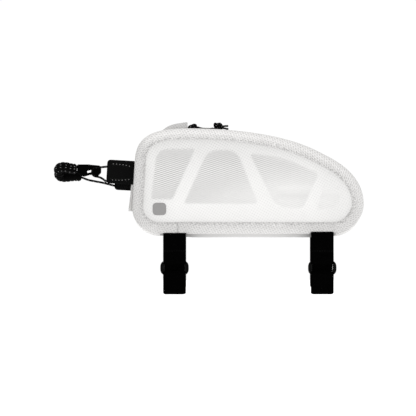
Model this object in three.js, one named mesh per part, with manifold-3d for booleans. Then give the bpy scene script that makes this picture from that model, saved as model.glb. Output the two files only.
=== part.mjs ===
// A bicycle top tube bag: two domed side panels with a truss stiffener behind each, joined by a gusset,
// a base and bindings. A zip with a fabric garage runs along the top. Two hook-and-loop straps close
// round the top tube, and an elastic cord with a ribbed grip and a hook closes round the steerer.
//
// Millimetres. +X runs to the rear of the bag, +Y to its right side, +Z up. The origin is on the
// underside of the base, halfway between the two straps, where the bag sits on the top tube.

import * as THREE from "three";
import { mergeVertices } from "three/addons/utils/BufferGeometryUtils.js";
import Module from "manifold-3d";

const wasm = await Module();
wasm.setup();

// Body
const bodyLength = 243.4; // the bindings' outline, front to nose
const bodyHeight = 111; // the bindings' outline, bottom to top
const frontX = -121.6; // the foremost point of the bindings
const rimZ = 3.7; // height of the bindings' underside over the seat of the base
const frontHalfWidth = 26;
const rearHalfWidth = 20;
const gap = 0.3; // between pieces that touch

// Fabric
const panelWall = 1.2;
const gussetWall = 1.5;
const bindingWall = 1.2;
const bindingWidth = 11; // on the side panel
const bindingLip = 4; // round the edge, on the gusset
const sideBulge = 4;
const bulgeReach = 45; // distance from the outline at which a panel is flat again
const stiffenerWall = 1.5;
const stiffenerInset = 6;
const badgeWidth = 14.2;
const badgeHeight = 12.9;
const badgeCorner = 4.4;
const badgeWall = 0.6;

// Zip
const zipFrontInset = 35.6; // from the front of the bindings
const zipRearInset = 55.8; // from their nose
const zipFrontX = frontX + zipFrontInset;
const zipRearX = frontX + bodyLength - zipRearInset;
const zipTapeWidth = 16;
const zipTapeWall = 1.1;
const coilWidth = 5.4;
const coilHeight = 1;
const sliderX = -58.5;
const sliderLength = 10.5;
const sliderWidth = 8.6;
const sliderPlate = 1.2;
const bridgeWall = 1.3;
const bridgeRoom = 1.6; // over the cord
const bridgeWidth = 2.4;
const garageLength = 26;
const garageWidth = 23;
const garageHeight = 8.8;
const garageWall = 1.3;
const garageLift = 0.54; // over the gusset
const pullDiameter = 2.1;
const knotLength = 11;
const knotHeight = 7.6;
const knotWidth = 9;
const knotLift = 0.3; // over the coil
const tailWall = 2;
const tailYaw = 0.16;
const tailPitch = 0.12;

// Straps round the top tube
const strapWidth = 24;
const strapWall = 1.8;
const frontStrapInset = 44.4; // from the front of the bindings to the middle of the strap
const rearStrapInset = 43.6; // from their nose
const frontStrapX = frontX + frontStrapInset;
const rearStrapX = frontX + bodyLength - rearStrapInset;
const strapSeamInset = 2.1; // from the side of the body to the middle of the webbing
const loopDepth = 52.5; // from the seat to the underside of the loop
const loopCorner = 11;
const ringDepth = 32; // from the seat to the middle of the ring
const ringHeight = 15.8;
const ringBar = 2.6;
const ringSideClearance = 0.4;
const turnBackLength = 12; // webbing sewn back on itself above the ring
const tailDepth = 59.8;
const tailCorner = 2.2;

// Fittings at the front
const leftTabLength = 28.5;
const rightTabLength = 20;
const tabHeight = 25;
const tabWall = 2.4;
const tabCorner = 4;
const tabSpread = 11; // from the middle of the bag to the middle of a tab
const footWidth = 8;
const footWall = 0.9;
const leftTabZ = 68; // the middle of the left tab
const rightTabDrop = 6.4; // the right tab sits lower
const flapTopZ = 80.5;
const flapBottomZ = 27;
const flapWidth = 19;
const flapWall = 1;
const flapLift = 1.5; // how far the free lower end stands off

// Elastic cord
const cordDiameter = 2.3;
const gripDiameter = 9.4;
const gripRoot = 8;
const gripRibPitch = 4.2;
const gripEndX = -175.6; // where the cord goes into the grip
const hookFrontX = -179.9;
const hookRearX = -154.6;
const hookHeight = 9.4;
const hookWall = 5.6;
const hookPlate = 3; // behind the loop
const postDiameter = 6.3;
const postHead = 1.1;
const hookEyeLength = 4;
const hookEyeHeight = 1.8;
const cordSteps = 34;
const loopSteps = 18;
const pullSteps = 17;

// The bindings' outline in the side view, as cubic curves with a straight front and bottom. Each row is
// the end of a stretch and the handles that lead to it, in shares of bodyLength from the front and of
// bodyHeight from the bottom. crown is how far the middle of the gusset stands out there, in shares of
// baseCrown, and steps is the number of facets in the stretch.
const baseCrown = rimZ + bindingWall + gap;
const outlineStart = { along: 0.2, up: 0, crown: 0.84 };
const outlineTable = [
  { part: "base", along: 0.27, up: 0, crown: 1, steps: 1 },
  { part: "base", along: 0.77, up: 0, crown: 1, steps: 3 },
  { part: "base", along: 0.874, up: 0, crown: 0.72, steps: 2 },
  { part: "gusset", handles: [0.954, 0, 1, 0.19], along: 1, up: 0.2825, crown: 0.4, steps: 6 },
  { part: "gusset", handles: [1, 0.596, 0.852, 0.726], along: 0.8025, up: 0.7827, crown: 0.06, steps: 7 },
  { part: "gusset", handles: [0.6447, 0.9636, 0.3933, 1], along: 0.25, up: 1, crown: -0.16, steps: 9 },
  { part: "gusset", handles: [0.1205, 1, 0.0165, 0.969], along: 0.0113, up: 0.695, crown: 0.3, steps: 7 },
  { part: "gusset", along: 0, up: 0.25, crown: 0.36, steps: 2 },
  { part: "gusset", handles: [0, 0.118, 0.047, 0], along: 0.1205, up: 0, crown: 0.66, steps: 7 },
  { part: "base", along: 0.2, up: 0, crown: 0.84, steps: 1 },
];

// The openings of the truss stiffener, as corners in the same shares, each with its own rounding in
// shares of bodyHeight.
const windowTable = [
  {
    corners: [[0.081, 0.327], [0.175, 0.327], [0.273, 0.807], [0.106, 0.807]],
    rounding: [0.03, 0.03, 0.03, 0.12],
  },
  {
    corners: [[0.222, 0.286], [0.544, 0.286], [0.45, 0.797], [0.327, 0.797]],
    rounding: [0.03, 0.04, 0.1, 0.1],
  },
  {
    corners: [[0.622, 0.246], [0.737, 0.238], [0.805, 0.57], [0.657, 0.72], [0.505, 0.765]],
    rounding: [0.12, 0.06, 0.04, 0.1, 0.05],
  },
  {
    corners: [[0.795, 0.23], [0.883, 0.25], [0.903, 0.36], [0.83, 0.47]],
    rounding: [0.03, 0.04, 0.05, 0.04],
  },
];
const badgePlace = { along: 0.1175, up: 0.236 };

// The cords' routes, as chosen points: the elastic cord from the right tab through the grip to the hook,
// the short loop on the left tab, which goes round the hook's post, and the pull cord, which goes
// through the slider's bridge and back. The pull's heights are over the zip coil.
const cordRoute = [
  [-142.4, 11, 54.9],
  [-147.5, 11, 56.2],
  [-154, 10.6, 57.8],
  [-162, 10, 59.3],
  [-168.8, 9.3, 60.7],
  [-175.6, 9, 63.2],
  [-180.4, 9, 64.2],
  [-186, 9, 63.9],
  [-191, 9, 63.3],
  [-194.8, 8.3, 63.2],
  [-198.2, 6.4, 64],
  [-200.4, 3.4, 66.2],
  [-201.1, 0, 69],
  [-200.4, -3.4, 71.9],
  [-198.2, -6.4, 74],
  [-194.8, -8.3, 74.8],
  [-191, -9, 74.5],
  [-185.5, -9, 73.3],
  [-180.2, -9, 72.9],
];
const loopRoute = [
  [-149.9, -11, 74.4],
  [-152, -11, 74.2],
  [-154.4, -11, 73.9],
  [-157, -11, 73.5],
  [-159.6, -11, 73.3],
  [-161.4, -11, 72.9],
  [-162.8, -11, 72],
  [-163.8, -11, 70.5],
  [-164.2, -11, 68.7],
  [-163.8, -11, 66.9],
  [-162.8, -11, 65.4],
  [-161.4, -11, 64.5],
  [-159.6, -11, 64.1],
  [-157, -11, 63.6],
  [-154.4, -11, 62.5],
  [-152, -11, 61],
  [-149.9, -11, 59.4],
];
const pullRoute = [
  [-36.9, -1.5, 1.9],
  [-38.9, -1.6, 1.3],
  [-41.6, -1.8, 1.15],
  [-45, -1.8, 1.15],
  [-49, -1.9, 1.45],
  [-52.5, -2.1, 2.45],
  [-55.4, -2.4, 2.85],
  [-57.6, -2, 2.8],
  [-58.5, 0, 2.85],
  [-57.6, 2, 2.8],
  [-55.4, 2.4, 2.85],
  [-52.5, 2.1, 2.45],
  [-49, 1.9, 1.45],
  [-45, 1.8, 1.15],
  [-41.6, 1.8, 1.15],
  [-38.9, 1.6, 1.3],
  [-36.9, 1.5, 1.9],
];
const grip = { y: -9, z: 72.9 }; // the middle of the grip's end at the hook
const post = { x: -159.6, y: -11, z: 68.7 }; // the middle of the loop's bend

const colours = {
  shell: 0xe9e9e7,
  binding: 0xdededb,
  stiffener: 0xf6f6f4,
  base: 0xeaeae8,
  badge: 0x9b9b9b,
  webbing: 0x0c0c0c,
  plastic: 0x111111,
  rubber: 0x161616,
};

function material(colour, roughness, metalness = 0) {
  return new THREE.MeshStandardMaterial({ color: colour, roughness, metalness });
}

const bag = new THREE.Group();

function add(name, geometry, made, parent = bag) {
  const mesh = new THREE.Mesh(geometry, made);
  mesh.name = name;
  parent.add(mesh);
  return mesh;
}

// Solids

function solidOf(geometry) {
  const bare = new THREE.BufferGeometry();
  bare.setAttribute("position", geometry.getAttribute("position").clone());
  if (geometry.index) bare.setIndex(geometry.index.clone());
  const merged = mergeVertices(bare, 1e-4);
  return new wasm.Manifold(
    new wasm.Mesh({
      numProp: 3,
      vertProperties: new Float32Array(merged.getAttribute("position").array),
      triVerts: new Uint32Array(merged.index.array),
    }),
  );
}

function geometryOf(solid) {
  const mesh = solid.getMesh();
  const geometry = new THREE.BufferGeometry();
  geometry.setAttribute("position", new THREE.BufferAttribute(mesh.vertProperties, 3));
  geometry.setIndex(new THREE.BufferAttribute(mesh.triVerts, 1));
  geometry.computeVertexNormals();
  return geometry;
}

function box(lengthX, lengthY, lengthZ, centre) {
  return new THREE.BoxGeometry(lengthX, lengthY, lengthZ).translate(...centre);
}

// A closed skin over sections that have as many points each. flat holds the first section's points in
// its own plane, which is how the two ends are capped.
function loft(sections, closed, flat) {
  const across = sections[0].length;
  const positions = sections.flat().flatMap((p) => [p.x, p.y, p.z]);
  const index = [];
  const last = closed ? sections.length : sections.length - 1;
  for (let i = 0; i < last; i++) {
    const next = (i + 1) % sections.length;
    for (let j = 0; j < across; j++) {
      const beside = (j + 1) % across;
      const [a, b] = [i * across + j, i * across + beside];
      const [c, d] = [next * across + beside, next * across + j];
      index.push(a, b, c, a, c, d);
    }
  }
  if (!closed) {
    const end = (sections.length - 1) * across;
    const clockwise = THREE.ShapeUtils.isClockWise(flat);
    for (const face of THREE.ShapeUtils.triangulateShape(flat, [])) {
      const [a, b, c] = clockwise ? face.reverse() : face;
      index.push(a, c, b, end + a, end + b, end + c);
    }
  }
  const geometry = new THREE.BufferGeometry();
  geometry.setAttribute("position", new THREE.Float32BufferAttribute(positions, 3));
  geometry.setIndex(index);
  return facingOut(geometry);
}

function facingOut(geometry) {
  const { array } = geometry.getAttribute("position");
  const index = geometry.index.array;
  const corner = (k) => new THREE.Vector3().fromArray(array, index[k] * 3);
  let volume = 0;
  for (let k = 0; k < index.length; k += 3) volume += corner(k).dot(corner(k + 1).cross(corner(k + 2)));
  if (volume < 0) geometry.setIndex([...index].reverse());
  return geometry;
}

// A side-view shape made into a plate between two places across the bag.
function sidePlate(shape, fromY, toY) {
  const settings = { depth: toY - fromY, bevelEnabled: false, curveSegments: 4 };
  return new THREE.ExtrudeGeometry(shape, settings).rotateX(Math.PI / 2).translate(0, toY, 0);
}

function tube(points, diameter, steps, sides = 8) {
  const section = new THREE.Shape();
  for (let k = 0; k < sides; k++) {
    const turn = (2 * Math.PI * k) / sides;
    const place = [(Math.cos(turn) * diameter) / 2, (Math.sin(turn) * diameter) / 2];
    if (k === 0) section.moveTo(...place);
    else section.lineTo(...place);
  }
  section.closePath();
  const path = new THREE.CatmullRomCurve3(points, false, "centripetal");
  return new THREE.ExtrudeGeometry(section, { steps, extrudePath: path, bevelEnabled: false });
}

// A polygon whose corners are rounded, each with its own radius.
function roundedShape(corners, radii) {
  const shape = new THREE.Shape();
  corners.forEach((at, k) => {
    const from = corners[(k + corners.length - 1) % corners.length];
    const to = corners[(k + 1) % corners.length];
    const radius = radii[k];
    const before = at.clone().add(from.clone().sub(at).setLength(radius));
    const after = at.clone().add(to.clone().sub(at).setLength(radius));
    if (k === 0) shape.moveTo(before.x, before.y);
    else shape.lineTo(before.x, before.y);
    shape.quadraticCurveTo(at.x, at.y, after.x, after.y);
  });
  shape.closePath();
  return shape;
}

function roundedRectangle(width, height, corner, centreX = 0, centreY = 0) {
  const [halfWidth, halfHeight] = [width / 2, height / 2];
  const corners = [
    [-halfWidth, -halfHeight],
    [halfWidth, -halfHeight],
    [halfWidth, halfHeight],
    [-halfWidth, halfHeight],
  ].map(([x, y]) => new THREE.Vector2(centreX + x, centreY + y));
  return roundedShape(corners, [corner, corner, corner, corner]);
}

// The outline

const atShare = (along, up) => new THREE.Vector2(frontX + along * bodyLength, rimZ + up * bodyHeight);
const halfWidthAt = (x) => frontHalfWidth + ((rearHalfWidth - frontHalfWidth) * (x - frontX)) / bodyLength;

function outlinePoints() {
  const points = [];
  let from = outlineStart;
  for (const row of outlineTable) {
    const [start, end] = [atShare(from.along, from.up), atShare(row.along, row.up)];
    const handles = row.handles && [atShare(...row.handles.slice(0, 2)), atShare(...row.handles.slice(2))];
    const curve = handles
      ? new THREE.CubicBezierCurve(start, ...handles, end)
      : new THREE.LineCurve(start, end);
    for (let k = 0; k < row.steps; k++) {
      const share = k / row.steps;
      const [place, along] = [curve.getPoint(share), curve.getTangent(share)];
      const eased = share * share * (3 - 2 * share);
      points.push({
        part: row.part,
        startsPart: k === 0,
        place,
        inward: new THREE.Vector2(-along.y, along.x),
        crown: (from.crown + (row.crown - from.crown) * eased) * baseCrown,
      });
    }
    from = row;
  }
  return points;
}

const outline = outlinePoints();
const seamInset = bindingWall + gap; // from the outline to the gusset's outer face at its edge

function insetShape(inset) {
  const loop = outline.map((o) => o.place.clone().addScaledVector(o.inward, inset));
  return new THREE.Shape(loop);
}

// Side panels, stiffeners and badge are layers of one dome. bulgeAt is its height over the side of the
// body, by the share of bulgeReach from the outline.
const bulgeAt = (share) => sideBulge * (1 - (1 - Math.min(share, 1)) ** 2);
const spineStart = new THREE.Vector2(frontX + bodyHeight / 2, rimZ + bodyHeight * 0.5);
const spineEnd = new THREE.Vector2(frontX + bodyLength - bodyHeight * 0.45, rimZ + bodyHeight * 0.36);
const domeShares = [0.3, 0.7];

function spinePoint(place) {
  const spine = spineEnd.clone().sub(spineStart);
  const share = THREE.MathUtils.clamp(place.clone().sub(spineStart).dot(spine) / spine.lengthSq(), 0, 1);
  return spineStart.clone().addScaledVector(spine, share);
}

// outer is how far the layer's outer face stands over the panel's, side is -1 for left and 1 for right.
function domedLayer(outer, wall, inset, side) {
  const rings = [];
  const edge = outline.map((o) => o.place.clone().addScaledVector(o.inward, inset));
  const shoulder = outline.map((o) => o.place.clone().addScaledVector(o.inward, bindingWidth));
  rings.push({ loop: edge, bulge: bulgeAt(inset / bulgeReach) });
  const edgeIsFar = inset < bindingWidth / 2;
  if (edgeIsFar) rings.push({ loop: shoulder, bulge: bulgeAt(bindingWidth / bulgeReach) });
  const edgeShare = bindingWidth / bulgeReach;
  for (const share of domeShares) {
    const loop = shoulder.map((p) => p.clone().lerp(spinePoint(p), share));
    const inward = share / domeShares[domeShares.length - 1];
    rings.push({ loop, bulge: bulgeAt(edgeShare + (1 - edgeShare) * inward) });
  }
  const across = outline.length;
  const positions = [];
  for (const depth of [outer, outer - wall]) {
    for (const { loop, bulge } of rings) {
      for (const p of loop) positions.push(p.x, side * (halfWidthAt(p.x) + bulge + depth), p.y);
    }
  }
  const index = [];
  const inner = rings.length * across;
  const quad = (a, b, c, d) => index.push(a, b, c, a, c, d);
  for (let j = 0; j < across; j++) {
    const beside = (j + 1) % across;
    for (let i = 0; i + 1 < rings.length; i++) {
      const [low, high] = [i * across, (i + 1) * across];
      quad(low + j, low + beside, high + beside, high + j);
      quad(inner + high + j, inner + high + beside, inner + low + beside, inner + low + j);
    }
    quad(inner + j, inner + beside, beside, j);
  }
  const top = (rings.length - 1) * across;
  for (const [a, b, c] of THREE.ShapeUtils.triangulateShape(rings[rings.length - 1].loop, [])) {
    index.push(top + a, top + b, top + c, inner + top + a, inner + top + c, inner + top + b);
  }
  const geometry = new THREE.BufferGeometry();
  geometry.setAttribute("position", new THREE.Float32BufferAttribute(positions, 3));
  geometry.setIndex(index);
  return facingOut(geometry);
}

function windowPlates() {
  const reach = frontHalfWidth + sideBulge + bodyHeight;
  return windowTable.map(({ corners, rounding }) => {
    const shape = roundedShape(
      corners.map(([along, up]) => atShare(along, up)),
      rounding.map((share) => share * bodyHeight),
    );
    return sidePlate(shape, -reach, reach);
  });
}

function sidePanels() {
  const fabric = material(colours.shell, 0.75);
  for (const [name, side] of [["left", -1], ["right", 1]]) {
    add(`side_panel_${name}`, domedLayer(0, panelWall, seamInset, side), fabric);
  }
}

function stiffeners() {
  const board = material(colours.stiffener, 0.6);
  const windows = windowPlates().map(solidOf);
  for (const [name, side] of [["left", -1], ["right", 1]]) {
    let plate = solidOf(domedLayer(-panelWall - gap, stiffenerWall, stiffenerInset, side));
    for (const opening of windows) plate = plate.subtract(opening);
    add(`truss_stiffener_${name}`, geometryOf(plate), board);
  }
}

function badge() {
  const middle = atShare(badgePlace.along, badgePlace.up);
  const outlineShape = roundedRectangle(badgeWidth, badgeHeight, badgeCorner, middle.x, middle.y);
  const reach = frontHalfWidth + sideBulge + bodyHeight;
  const patch = solidOf(domedLayer(gap + badgeWall, badgeWall, stiffenerInset, -1));
  const cut = patch.intersect(solidOf(sidePlate(outlineShape, -reach, 0)));
  add("badge", geometryOf(cut), material(colours.badge, 0.45));
}

// The binding's section: in is the distance from the outline, out the height over the side of the body.
// follows says that a point rides on the dome of the side panel.
function bindings() {
  const face = bindingWall + gap;
  const section = [
    { in: bindingWall, out: -bindingLip },
    { in: 0, out: -bindingLip },
    { in: 0, out: -0.6 * bindingWall },
    { in: 0.35 * bindingWall, out: 0.7 * face },
    { in: 1.3 * bindingWall, out: face, follows: true },
    { in: bindingWidth - 0.3 * bindingWall, out: face, follows: true },
    { in: bindingWidth, out: 0.7 * face, follows: true },
    { in: bindingWidth, out: gap, follows: true },
    { in: bindingWall, out: gap, follows: true },
  ];
  const tape = material(colours.binding, 0.9);
  for (const [name, side] of [["left", -1], ["right", 1]]) {
    const sections = outline.map((o) =>
      section.map((s) => {
        const place = o.place.clone().addScaledVector(o.inward, s.in);
        const bulge = s.follows ? bulgeAt(s.in / bulgeReach) : 0;
        return new THREE.Vector3(place.x, side * (halfWidthAt(place.x) + bulge + s.out), place.y);
      }),
    );
    add(`binding_${name}`, loft(sections, true), tape);
  }
}

// The gusset and the base are walls across the bag. They lie flat under the bindings' lips, and between
// the lips their middle stands out by the crown. across is a share of the width between the lips.
const crownTable = [
  { across: -1, share: 0 },
  { across: -0.8, share: 0.68 },
  { across: -0.55, share: 1 },
  { across: 0.55, share: 1 },
  { across: 0.8, share: 0.68 },
  { across: 1, share: 0 },
];

// raise moves the wall outward, so that the zip's coil can follow the gusset.
function wallSection(o, wall, raise = 0) {
  const face = (depth) => {
    const at = (inward, sideInset, across) => {
      const place = o.place.clone().addScaledVector(o.inward, inward + depth);
      return new THREE.Vector3(place.x, across * (halfWidthAt(place.x) - sideInset), place.y);
    };
    const edge = seamInset - raise;
    const between = crownTable.map((row) => at(edge - row.share * o.crown, bindingLip + gap, row.across));
    return [at(edge, panelWall + gap, -1), ...between, at(edge, panelWall + gap, 1)];
  };
  return [...face(0), ...face(wall).reverse()];
}

function flatSection(section, o) {
  return section.map((p) => new THREE.Vector2(p.y, new THREE.Vector2(p.x, p.z).sub(o.place).dot(o.inward)));
}

// The points of the outline that a part owns, with the first point of what follows it.
function stretch(part) {
  const count = outline.length;
  const before = (k) => outline[(k + count - 1) % count];
  const first = outline.findIndex((o, k) => o.part === part && before(k).part !== part);
  const points = [];
  for (let k = first; outline[k % count].part === part; k++) points.push(outline[k % count]);
  points.push(outline[(first + points.length) % count]);
  return points;
}

function wallAlong(points, wall, raise) {
  const sections = points.map((o) => wallSection(o, wall, raise));
  return loft(sections, false, flatSection(sections[0], points[0]));
}

// Takes the end of a wall back along the outline by the gap between pieces.
function shortened(points) {
  const last = points[points.length - 1];
  const before = points[points.length - 2];
  const back = before.place.clone().sub(last.place).setLength(gap);
  return [...points.slice(0, -1), { ...last, place: last.place.clone().add(back) }];
}

function zipSlot(fromX, toX, width) {
  const height = bodyHeight;
  return box(toX - fromX, width, height, [(fromX + toX) / 2, 0, rimZ + bodyHeight * 0.6 + height / 2]);
}

function gussetAndBase() {
  const around = wallAlong(shortened(stretch("gusset")), gussetWall);
  const slot = zipSlot(zipFrontX - gap, zipRearX + gap, zipTapeWidth + 2 * gap);
  add("gusset", geometryOf(solidOf(around).subtract(solidOf(slot))), material(colours.binding, 0.85));
  add("base_panel", wallAlong(shortened(stretch("base")), gussetWall), material(colours.base, 0.55));
}

// Zip

function zipTapeAndCoil() {
  const tape = wallAlong(stretch("gusset"), zipTapeWall);
  const room = zipSlot(zipFrontX, zipRearX, zipTapeWidth);
  const cloth = material(colours.webbing, 0.9);
  add("zip_tape", geometryOf(solidOf(tape).intersect(solidOf(room))), cloth);
  const ridge = wallAlong(stretch("gusset"), coilHeight, coilHeight + gap);
  const track = zipSlot(zipFrontX + zipTapeWidth / 2, zipRearX - zipTapeWidth / 4, coilWidth);
  add("zip_coil", geometryOf(solidOf(ridge).intersect(solidOf(track))), material(colours.plastic, 0.5));
}

// The top of the bag at x: its height there, the coil's top over it, and the slope.
function topAt(x) {
  const ring = outline.map((o) => o.place.clone().addScaledVector(o.inward, seamInset - o.crown));
  for (let k = 0; k < ring.length; k++) {
    const [a, b] = [ring[k], ring[(k + 1) % ring.length]];
    const above = Math.min(a.y, b.y) > rimZ + bodyHeight * 0.5;
    if (above && (a.x - x) * (b.x - x) <= 0 && a.x !== b.x) {
      const share = (x - a.x) / (b.x - a.x);
      return { z: a.y + (b.y - a.y) * share, slope: (b.y - a.y) / (b.x - a.x) };
    }
  }
  throw new Error("no top over x = " + x);
}

// The slider stands on the coil: a plate and a bridge over it, which the pull cord goes under.
function zipSlider() {
  const plateShape = roundedShape(
    [
      [-0.5, -0.5],
      [0.5, -0.32],
      [0.5, 0.32],
      [-0.5, 0.5],
    ].map(([along, across]) => new THREE.Vector2(along * sliderLength, across * sliderWidth)),
    [1.6, 1.2, 1.2, 1.6],
  );
  const settings = { depth: sliderPlate, bevelEnabled: false, curveSegments: 3 };
  const plate = new THREE.ExtrudeGeometry(plateShape, settings);
  const arch = new THREE.Shape();
  const sunk = sliderPlate / 2;
  const footing = sliderLength * 0.4;
  const inner = footing - bridgeWall;
  const under = sliderPlate + pullDiameter + bridgeRoom;
  arch.moveTo(-footing, sunk);
  arch.lineTo(-footing, under);
  arch.lineTo(-inner, under + bridgeWall);
  arch.lineTo(inner, under + bridgeWall);
  arch.lineTo(footing, under);
  arch.lineTo(footing, sunk);
  arch.lineTo(inner, sunk);
  arch.lineTo(inner, under);
  arch.lineTo(-inner, under);
  arch.lineTo(-inner, sunk);
  arch.closePath();
  const bridge = sidePlate(arch, -bridgeWidth / 2, bridgeWidth / 2);
  const slider = geometryOf(solidOf(plate).add(solidOf(bridge)));
  const top = topAt(sliderX);
  const mesh = add("zip_slider", slider, material(colours.plastic, 0.35, 0.6));
  mesh.rotation.y = -Math.atan(top.slope);
  mesh.position.set(sliderX, 0, top.z + coilHeight + 2 * gap);
}

// Where the pull's two ends leave the knot, from its middle.
const tails = [
  { name: "left", side: -1, rise: -0.8, reach: 5.4 },
  { name: "right", side: 1, rise: -2.7, reach: 6.2 },
];

// The pull cord's two strands end in a knot, with two cut ends behind it.
function zipPull() {
  const cord = material(colours.webbing, 0.8);
  const overCoil = (x) => topAt(x).z + coilHeight + gap;
  const points = pullRoute.map(([x, y, lift]) => new THREE.Vector3(x, y, overCoil(x) + lift));
  add("pull_cord", tube(points, pullDiameter, pullSteps), cord);
  const knotX = pullRoute[0][0] + gap + knotLength / 2;
  const knot = add("pull_knot", new THREE.SphereGeometry(0.5, 12, 8), cord);
  knot.scale.set(knotLength, knotWidth, knotHeight);
  knot.position.set(knotX, 0, overCoil(knotX) + knotLift + knotHeight / 2);
  for (const { name, side, rise, reach } of tails) {
    const tail = new THREE.CylinderGeometry(tailWall / 2, tailWall / 2, reach, 8).rotateZ(Math.PI / 2);
    const mesh = add(`pull_tail_${name}`, tail, cord);
    const inner = Math.max(Math.abs(rise) - tailWall / 2, 0) / (knotHeight / 2);
    const start = (knotLength / 2) * Math.sqrt(1 - inner ** 2) - gap;
    mesh.rotation.set(0, side * tailYaw, side * tailPitch);
    mesh.position.set(knotX + start + reach / 2, side * tailWall, knot.position.z + rise);
  }
}

// The garage is an arched flap over the front end of the zip, open to the rear. along, height and width
// are shares of the garage's own length, height and width.
const garageTable = [
  { along: 0, height: 0.2, width: 0.7 },
  { along: 0.5, height: 0.82, width: 0.93 },
  { along: 1, height: 1, width: 1 },
];

function zipGarage() {
  const archSteps = 4;
  const rearX = sliderX - sliderLength / 2 - gap;
  const sections = garageTable.map(({ along, height, width }) => {
    const x = rearX - garageLength * (1 - along);
    const ground = topAt(x).z + garageLift;
    const arch = (half, rise) => {
      const points = [];
      for (let k = 0; k <= archSteps; k++) {
        const turn = (Math.PI * k) / archSteps;
        points.push(new THREE.Vector3(x, -Math.cos(turn) * half, ground + Math.sin(turn) * rise));
      }
      return points;
    };
    const [half, rise] = [(garageWidth * width) / 2, garageHeight * height];
    return [...arch(half, rise), ...arch(half - garageWall, rise - garageWall).reverse()];
  });
  const flat = sections[0].map((p) => new THREE.Vector2(p.y, p.z));
  add("zip_garage", loft(sections, false, flat), material(colours.binding, 0.9));
}

// Straps

// A strip of webbing along a path in the plane across the bag, made as wide as the strap.
function webbing(path, points, centreX) {
  const line = path.getPoints(points);
  const kept = line.filter((p, k) => k === 0 || p.distanceTo(line[k - 1]) > 1e-3);
  const sides = [[], []];
  kept.forEach((p, k) => {
    const before = kept[Math.max(k - 1, 0)];
    const after = kept[Math.min(k + 1, kept.length - 1)];
    const along = after.clone().sub(before).normalize();
    const out = new THREE.Vector2(-along.y, along.x).multiplyScalar(strapWall / 2);
    sides[0].push(p.clone().add(out));
    sides[1].push(p.clone().sub(out));
  });
  const shape = new THREE.Shape([...sides[0], ...sides[1].reverse()]);
  const strip = new THREE.ExtrudeGeometry(shape, { depth: strapWidth, bevelEnabled: false });
  // The shape's x and y become the bag's Y and Z.
  const turned = new THREE.Matrix4().makeBasis(
    new THREE.Vector3(0, 1, 0),
    new THREE.Vector3(0, 0, 1),
    new THREE.Vector3(1, 0, 0),
  );
  return strip.applyMatrix4(turned).translate(centreX - strapWidth / 2, 0, 0);
}

const ringOutsideWidth = strapWidth + 2 * (ringSideClearance + ringBar);
const barOffset = (ringHeight - ringBar) / 2; // from the ring's middle to the middle of a bar
const wrapRadius = ringBar / 2 + gap + strapWall / 2;

// The short piece comes down from the left seam, turns round the ring's upper bar and is sewn back.
function shortWebbing(legY) {
  const barZ = -ringDepth + barOffset;
  const backY = -legY + strapWall + gap;
  const path = new THREE.Path();
  path.moveTo(-legY, rimZ - gap);
  path.lineTo(-legY, barZ + turnBackLength);
  path.lineTo(-legY - wrapRadius + strapWall / 4, barZ + wrapRadius);
  path.absarc(-legY, barZ, wrapRadius, Math.PI, 2 * Math.PI, false);
  path.lineTo(backY, barZ + wrapRadius * 1.6);
  path.lineTo(backY, barZ + turnBackLength);
  return path;
}

// The long piece comes down from the right seam, passes under the tube, goes up inside the ring, turns
// out over its lower bar and lies back on itself.
function longWebbing(legY) {
  const barZ = -ringDepth - barOffset;
  const bottomZ = -loopDepth + strapWall / 2;
  const riseY = -legY + wrapRadius;
  const path = new THREE.Path();
  path.moveTo(legY, rimZ - gap);
  path.lineTo(legY, bottomZ + loopCorner);
  path.absarc(legY - loopCorner, bottomZ + loopCorner, loopCorner, 0, -Math.PI / 2, true);
  const nearCorner = loopCorner * 0.6;
  path.lineTo(riseY + nearCorner, bottomZ);
  path.absarc(riseY + nearCorner, bottomZ + nearCorner, nearCorner, -Math.PI / 2, -Math.PI, true);
  path.lineTo(riseY, barZ);
  path.absarc(-legY, barZ, wrapRadius, 0, Math.PI, false);
  const lieY = riseY - strapWall - gap;
  path.lineTo(-legY - wrapRadius, barZ - ringBar * 0.5);
  path.lineTo(lieY - strapWall * 0.3, barZ - wrapRadius * 2.5);
  path.lineTo(lieY, barZ - wrapRadius * 3);
  path.lineTo(lieY, -tailDepth);
  return path;
}

// The tail's lower corners are rounded in the side view.
function roundedTail(strip, centreX) {
  const reach = rimZ + tailDepth;
  const view = roundedRectangle(strapWidth, 2 * reach, tailCorner, centreX, rimZ);
  const half = 2 * frontHalfWidth;
  return geometryOf(solidOf(strip).intersect(solidOf(sidePlate(view, -half, half))));
}

function ring(name, centreX, legY) {
  const shape = roundedRectangle(ringOutsideWidth, ringHeight, ringHeight * 0.42);
  shape.holes.push(
    roundedRectangle(ringOutsideWidth - 2 * ringBar, ringHeight - 2 * ringBar, ringBar * 0.25),
  );
  const bevel = ringBar * 0.25;
  const loop = new THREE.ExtrudeGeometry(shape, {
    depth: ringBar - 2 * bevel,
    bevelEnabled: true,
    bevelThickness: bevel,
    bevelSize: bevel,
    bevelOffset: -bevel,
    bevelSegments: 1,
    curveSegments: 3,
  });
  loop.translate(0, 0, -(ringBar - 2 * bevel) / 2).rotateX(Math.PI / 2);
  const mesh = add(name, loop, material(colours.plastic, 0.4));
  mesh.position.set(centreX, -legY, -ringDepth);
}

function straps() {
  const cloth = material(colours.webbing, 0.95);
  for (const [name, centreX] of [["front", frontStrapX], ["rear", rearStrapX]]) {
    const legY = halfWidthAt(centreX + strapWidth / 2) - strapSeamInset;
    add(`${name}_strap_short`, webbing(shortWebbing(legY), 5, centreX), cloth);
    add(`${name}_strap_long`, roundedTail(webbing(longWebbing(legY), 6, centreX), centreX), cloth);
    ring(`${name}_strap_ring`, centreX, legY);
  }
}

// Front fittings. They are built on the front of the bag, leaning as it does: x out from the gusset, z
// up along it.

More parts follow.
